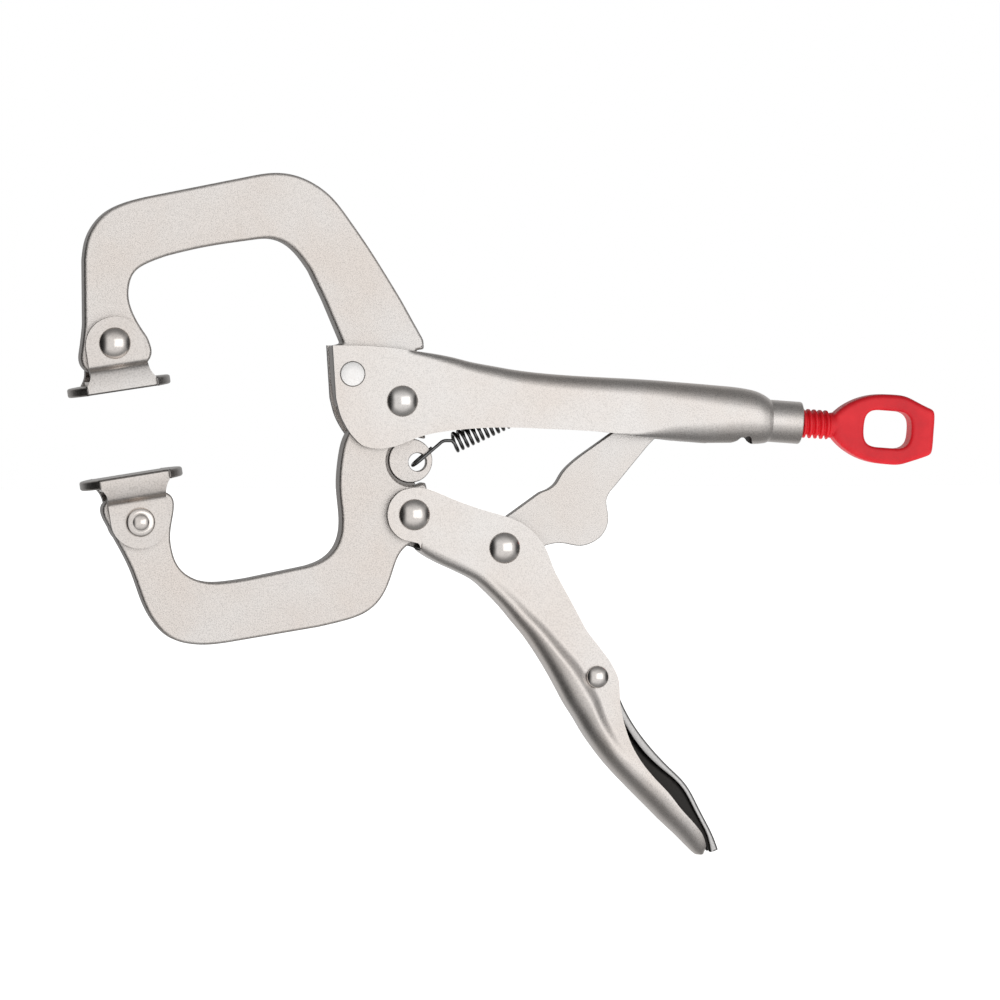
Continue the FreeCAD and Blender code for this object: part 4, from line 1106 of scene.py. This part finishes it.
def rear_hook(anchor, coil_end):
    """From the coil's end round the anchor pin."""
    ring = 0.8 + WIRE + 0.1
    first = math.degrees(math.atan2(coil_end[2] - anchor[2], coil_end[0] - anchor[0]))
    turns = [anchor + ring * slanted(a)[0] for a in np.linspace(first + 40, first + 350, 26)]
    return spline([coil_end] + turns, 50)


def tension_spring():
    """The spring between the lower arm's eye and the anchor pin."""
    length = 20.4
    axis, up = slanted(24.5)
    lead = slanted(40)[0]
    near = np.array([0, -1.0, 0])
    start = np.array([66.6, 0, -10.7])
    eye, anchor = (np.array([place[0], 0, place[1]]) for place in (EYE, ANCHOR))
    coil = spring_coil(start, length, axis, up, near)
    path = np.concatenate([front_hook(eye, lead, axis, up, near, coil[0]), coil,
                           rear_hook(anchor, coil[-1])[1:]])
    thing = new_object("tension_spring_wire", *swept(path, WIRE))
    finished(thing, None, ["tension_spring"], SPRING_STEEL)
    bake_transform(thing)


# ---- build

upper_arm()
lower_arm()
toggle_link()
upper_handle()
lever_handle()
release_lever()
rivets()
UPPER_TILT, LOWER_TILT = 8.5, 8.9
pad("upper_pad", UPPER_PAD, -UPPER_TILT, "upper_pad")
pad("lower_pad", LOWER_PAD, 180 - LOWER_TILT, "lower_pad")
eye_screw()
tension_spring()
for node in ("spring_anchor", "screw_tip"):
    kept = frame["nodes"][node]
    kept.data.materials.clear()
    kept.data.materials.append(RIVET_STEEL)

# ---- stage, light and camera

def floor():
    """A plain white floor just under the object."""
    bpy.ops.mesh.primitive_plane_add(size=6.0, location=(0.08, 0, float(CAD_LOW[2]) - 0.0005))
    ground = bpy.context.object
    ground.name = "floor"
    made, _, _, shader, _ = material("white_floor")
    shader.inputs["Base Color"].default_value = (0.9, 0.9, 0.9, 1)
    shader.inputs["Roughness"].default_value = 0.9
    shader.inputs["Emission Color"].default_value = (1, 1, 1, 1)
    shader.inputs["Emission Strength"].default_value = 1.0
    ground.data.materials.append(made)
    ground.visible_glossy = False


def reckoned(nodes, links, operation, first, second):
    """A Math node of an output with another output or a number."""
    made = nodes.new("ShaderNodeMath")
    made.operation = operation
    links.new(first, made.inputs[0])
    if isinstance(second, float):
        made.inputs[1].default_value = second
    else:
        links.new(second, made.inputs[1])
    return made.outputs[0]


def world():
    """A white studio: bright in front of the object, darker to its left, its right and at its rims."""
    made = bpy.data.worlds.new("studio")
    bpy.context.scene.world = made
    made.use_nodes = True
    nodes, links = made.node_tree.nodes, made.node_tree.links
    nodes.clear()
    place = nodes.new("ShaderNodeTexCoord")
    parts = nodes.new("ShaderNodeSeparateXYZ")
    links.new(place.outputs["Generated"], parts.inputs["Vector"])
    x, y, z = (parts.outputs[key] for key in "XYZ")
    off_axis = reckoned(nodes, links, "ADD", reckoned(nodes, links, "MULTIPLY", x, x),
                        reckoned(nodes, links, "MULTIPLY", z, z))
    # what each zone is measured along, where it starts and is full, and its brightness: left, right, above,
    # below, rim, behind
    zones = [(x, -0.50, -0.85, 0.07), (x, 0.84, 0.96, 0.22), (z, 0.35, 0.85, 0.62), (z, -0.40, -0.90, 0.75),
             (off_axis, 0.45, 0.95, 0.38), (y, 0.1, 0.6, 0.88)]
    room = None
    for along, start, full, brightness in zones:
        zone = spread(nodes, links, along, 1.0, brightness, start, full, smooth=True)
        room = reckoned(nodes, links, "MULTIPLY", zone, 0.78 if room is None else room)
    # the backdrop itself is plain white; the room only lights and reflects
    seen = nodes.new("ShaderNodeLightPath")
    back = nodes.new("ShaderNodeBackground")
    back.inputs["Color"].default_value = (1, 1, 1, 1)
    links.new(reckoned(nodes, links, "MAXIMUM", room, seen.outputs["Is Camera Ray"]), back.inputs["Strength"])
    out = nodes.new("ShaderNodeOutputWorld")
    links.new(back.outputs["Background"], out.inputs["Surface"])


def stood(thing, place, aim):
    """Puts a light or camera at a place, facing a point."""
    thing.location = place
    thing.rotation_mode = "QUATERNION"
    thing.rotation_quaternion = (aim - place).to_track_quat("-Z", "Y")
    bpy.context.collection.objects.link(thing)


def light(name, size, power, place, aim):
    """A soft rectangular light that faces a point."""
    data = bpy.data.lights.new(name, "AREA")
    data.shape = "RECTANGLE"
    data.size, data.size_y = size
    data.energy = power
    stood(bpy.data.objects.new(name, data), Vector(place), Vector(aim))


def camera():
    """The photograph's view: from slightly left and above, through a long lens."""
    azimuth, elevation, distance = math.radians(-10.0), math.radians(1.5), 1.2
    aim = Vector((0.076383, 0.0, -0.021963))
    back = Vector((math.sin(azimuth) * math.cos(elevation), -math.cos(azimuth) * math.cos(elevation),
                   math.sin(elevation)))
    data = bpy.data.cameras.new("camera")
    data.sensor_width = 36.0
    data.lens = 216.0
    data.clip_start, data.clip_end = 0.05, 20.0
    made = bpy.data.objects.new("camera", data)
    stood(made, aim + back * distance, aim)
    bpy.context.scene.camera = made


floor()
world()
light("key", (1.1, 0.9), 2.0, (0.50, -1.15, 0.05), (0.08, 0, -0.02))
camera()
bpy.context.scene.view_settings.view_transform = "Standard"
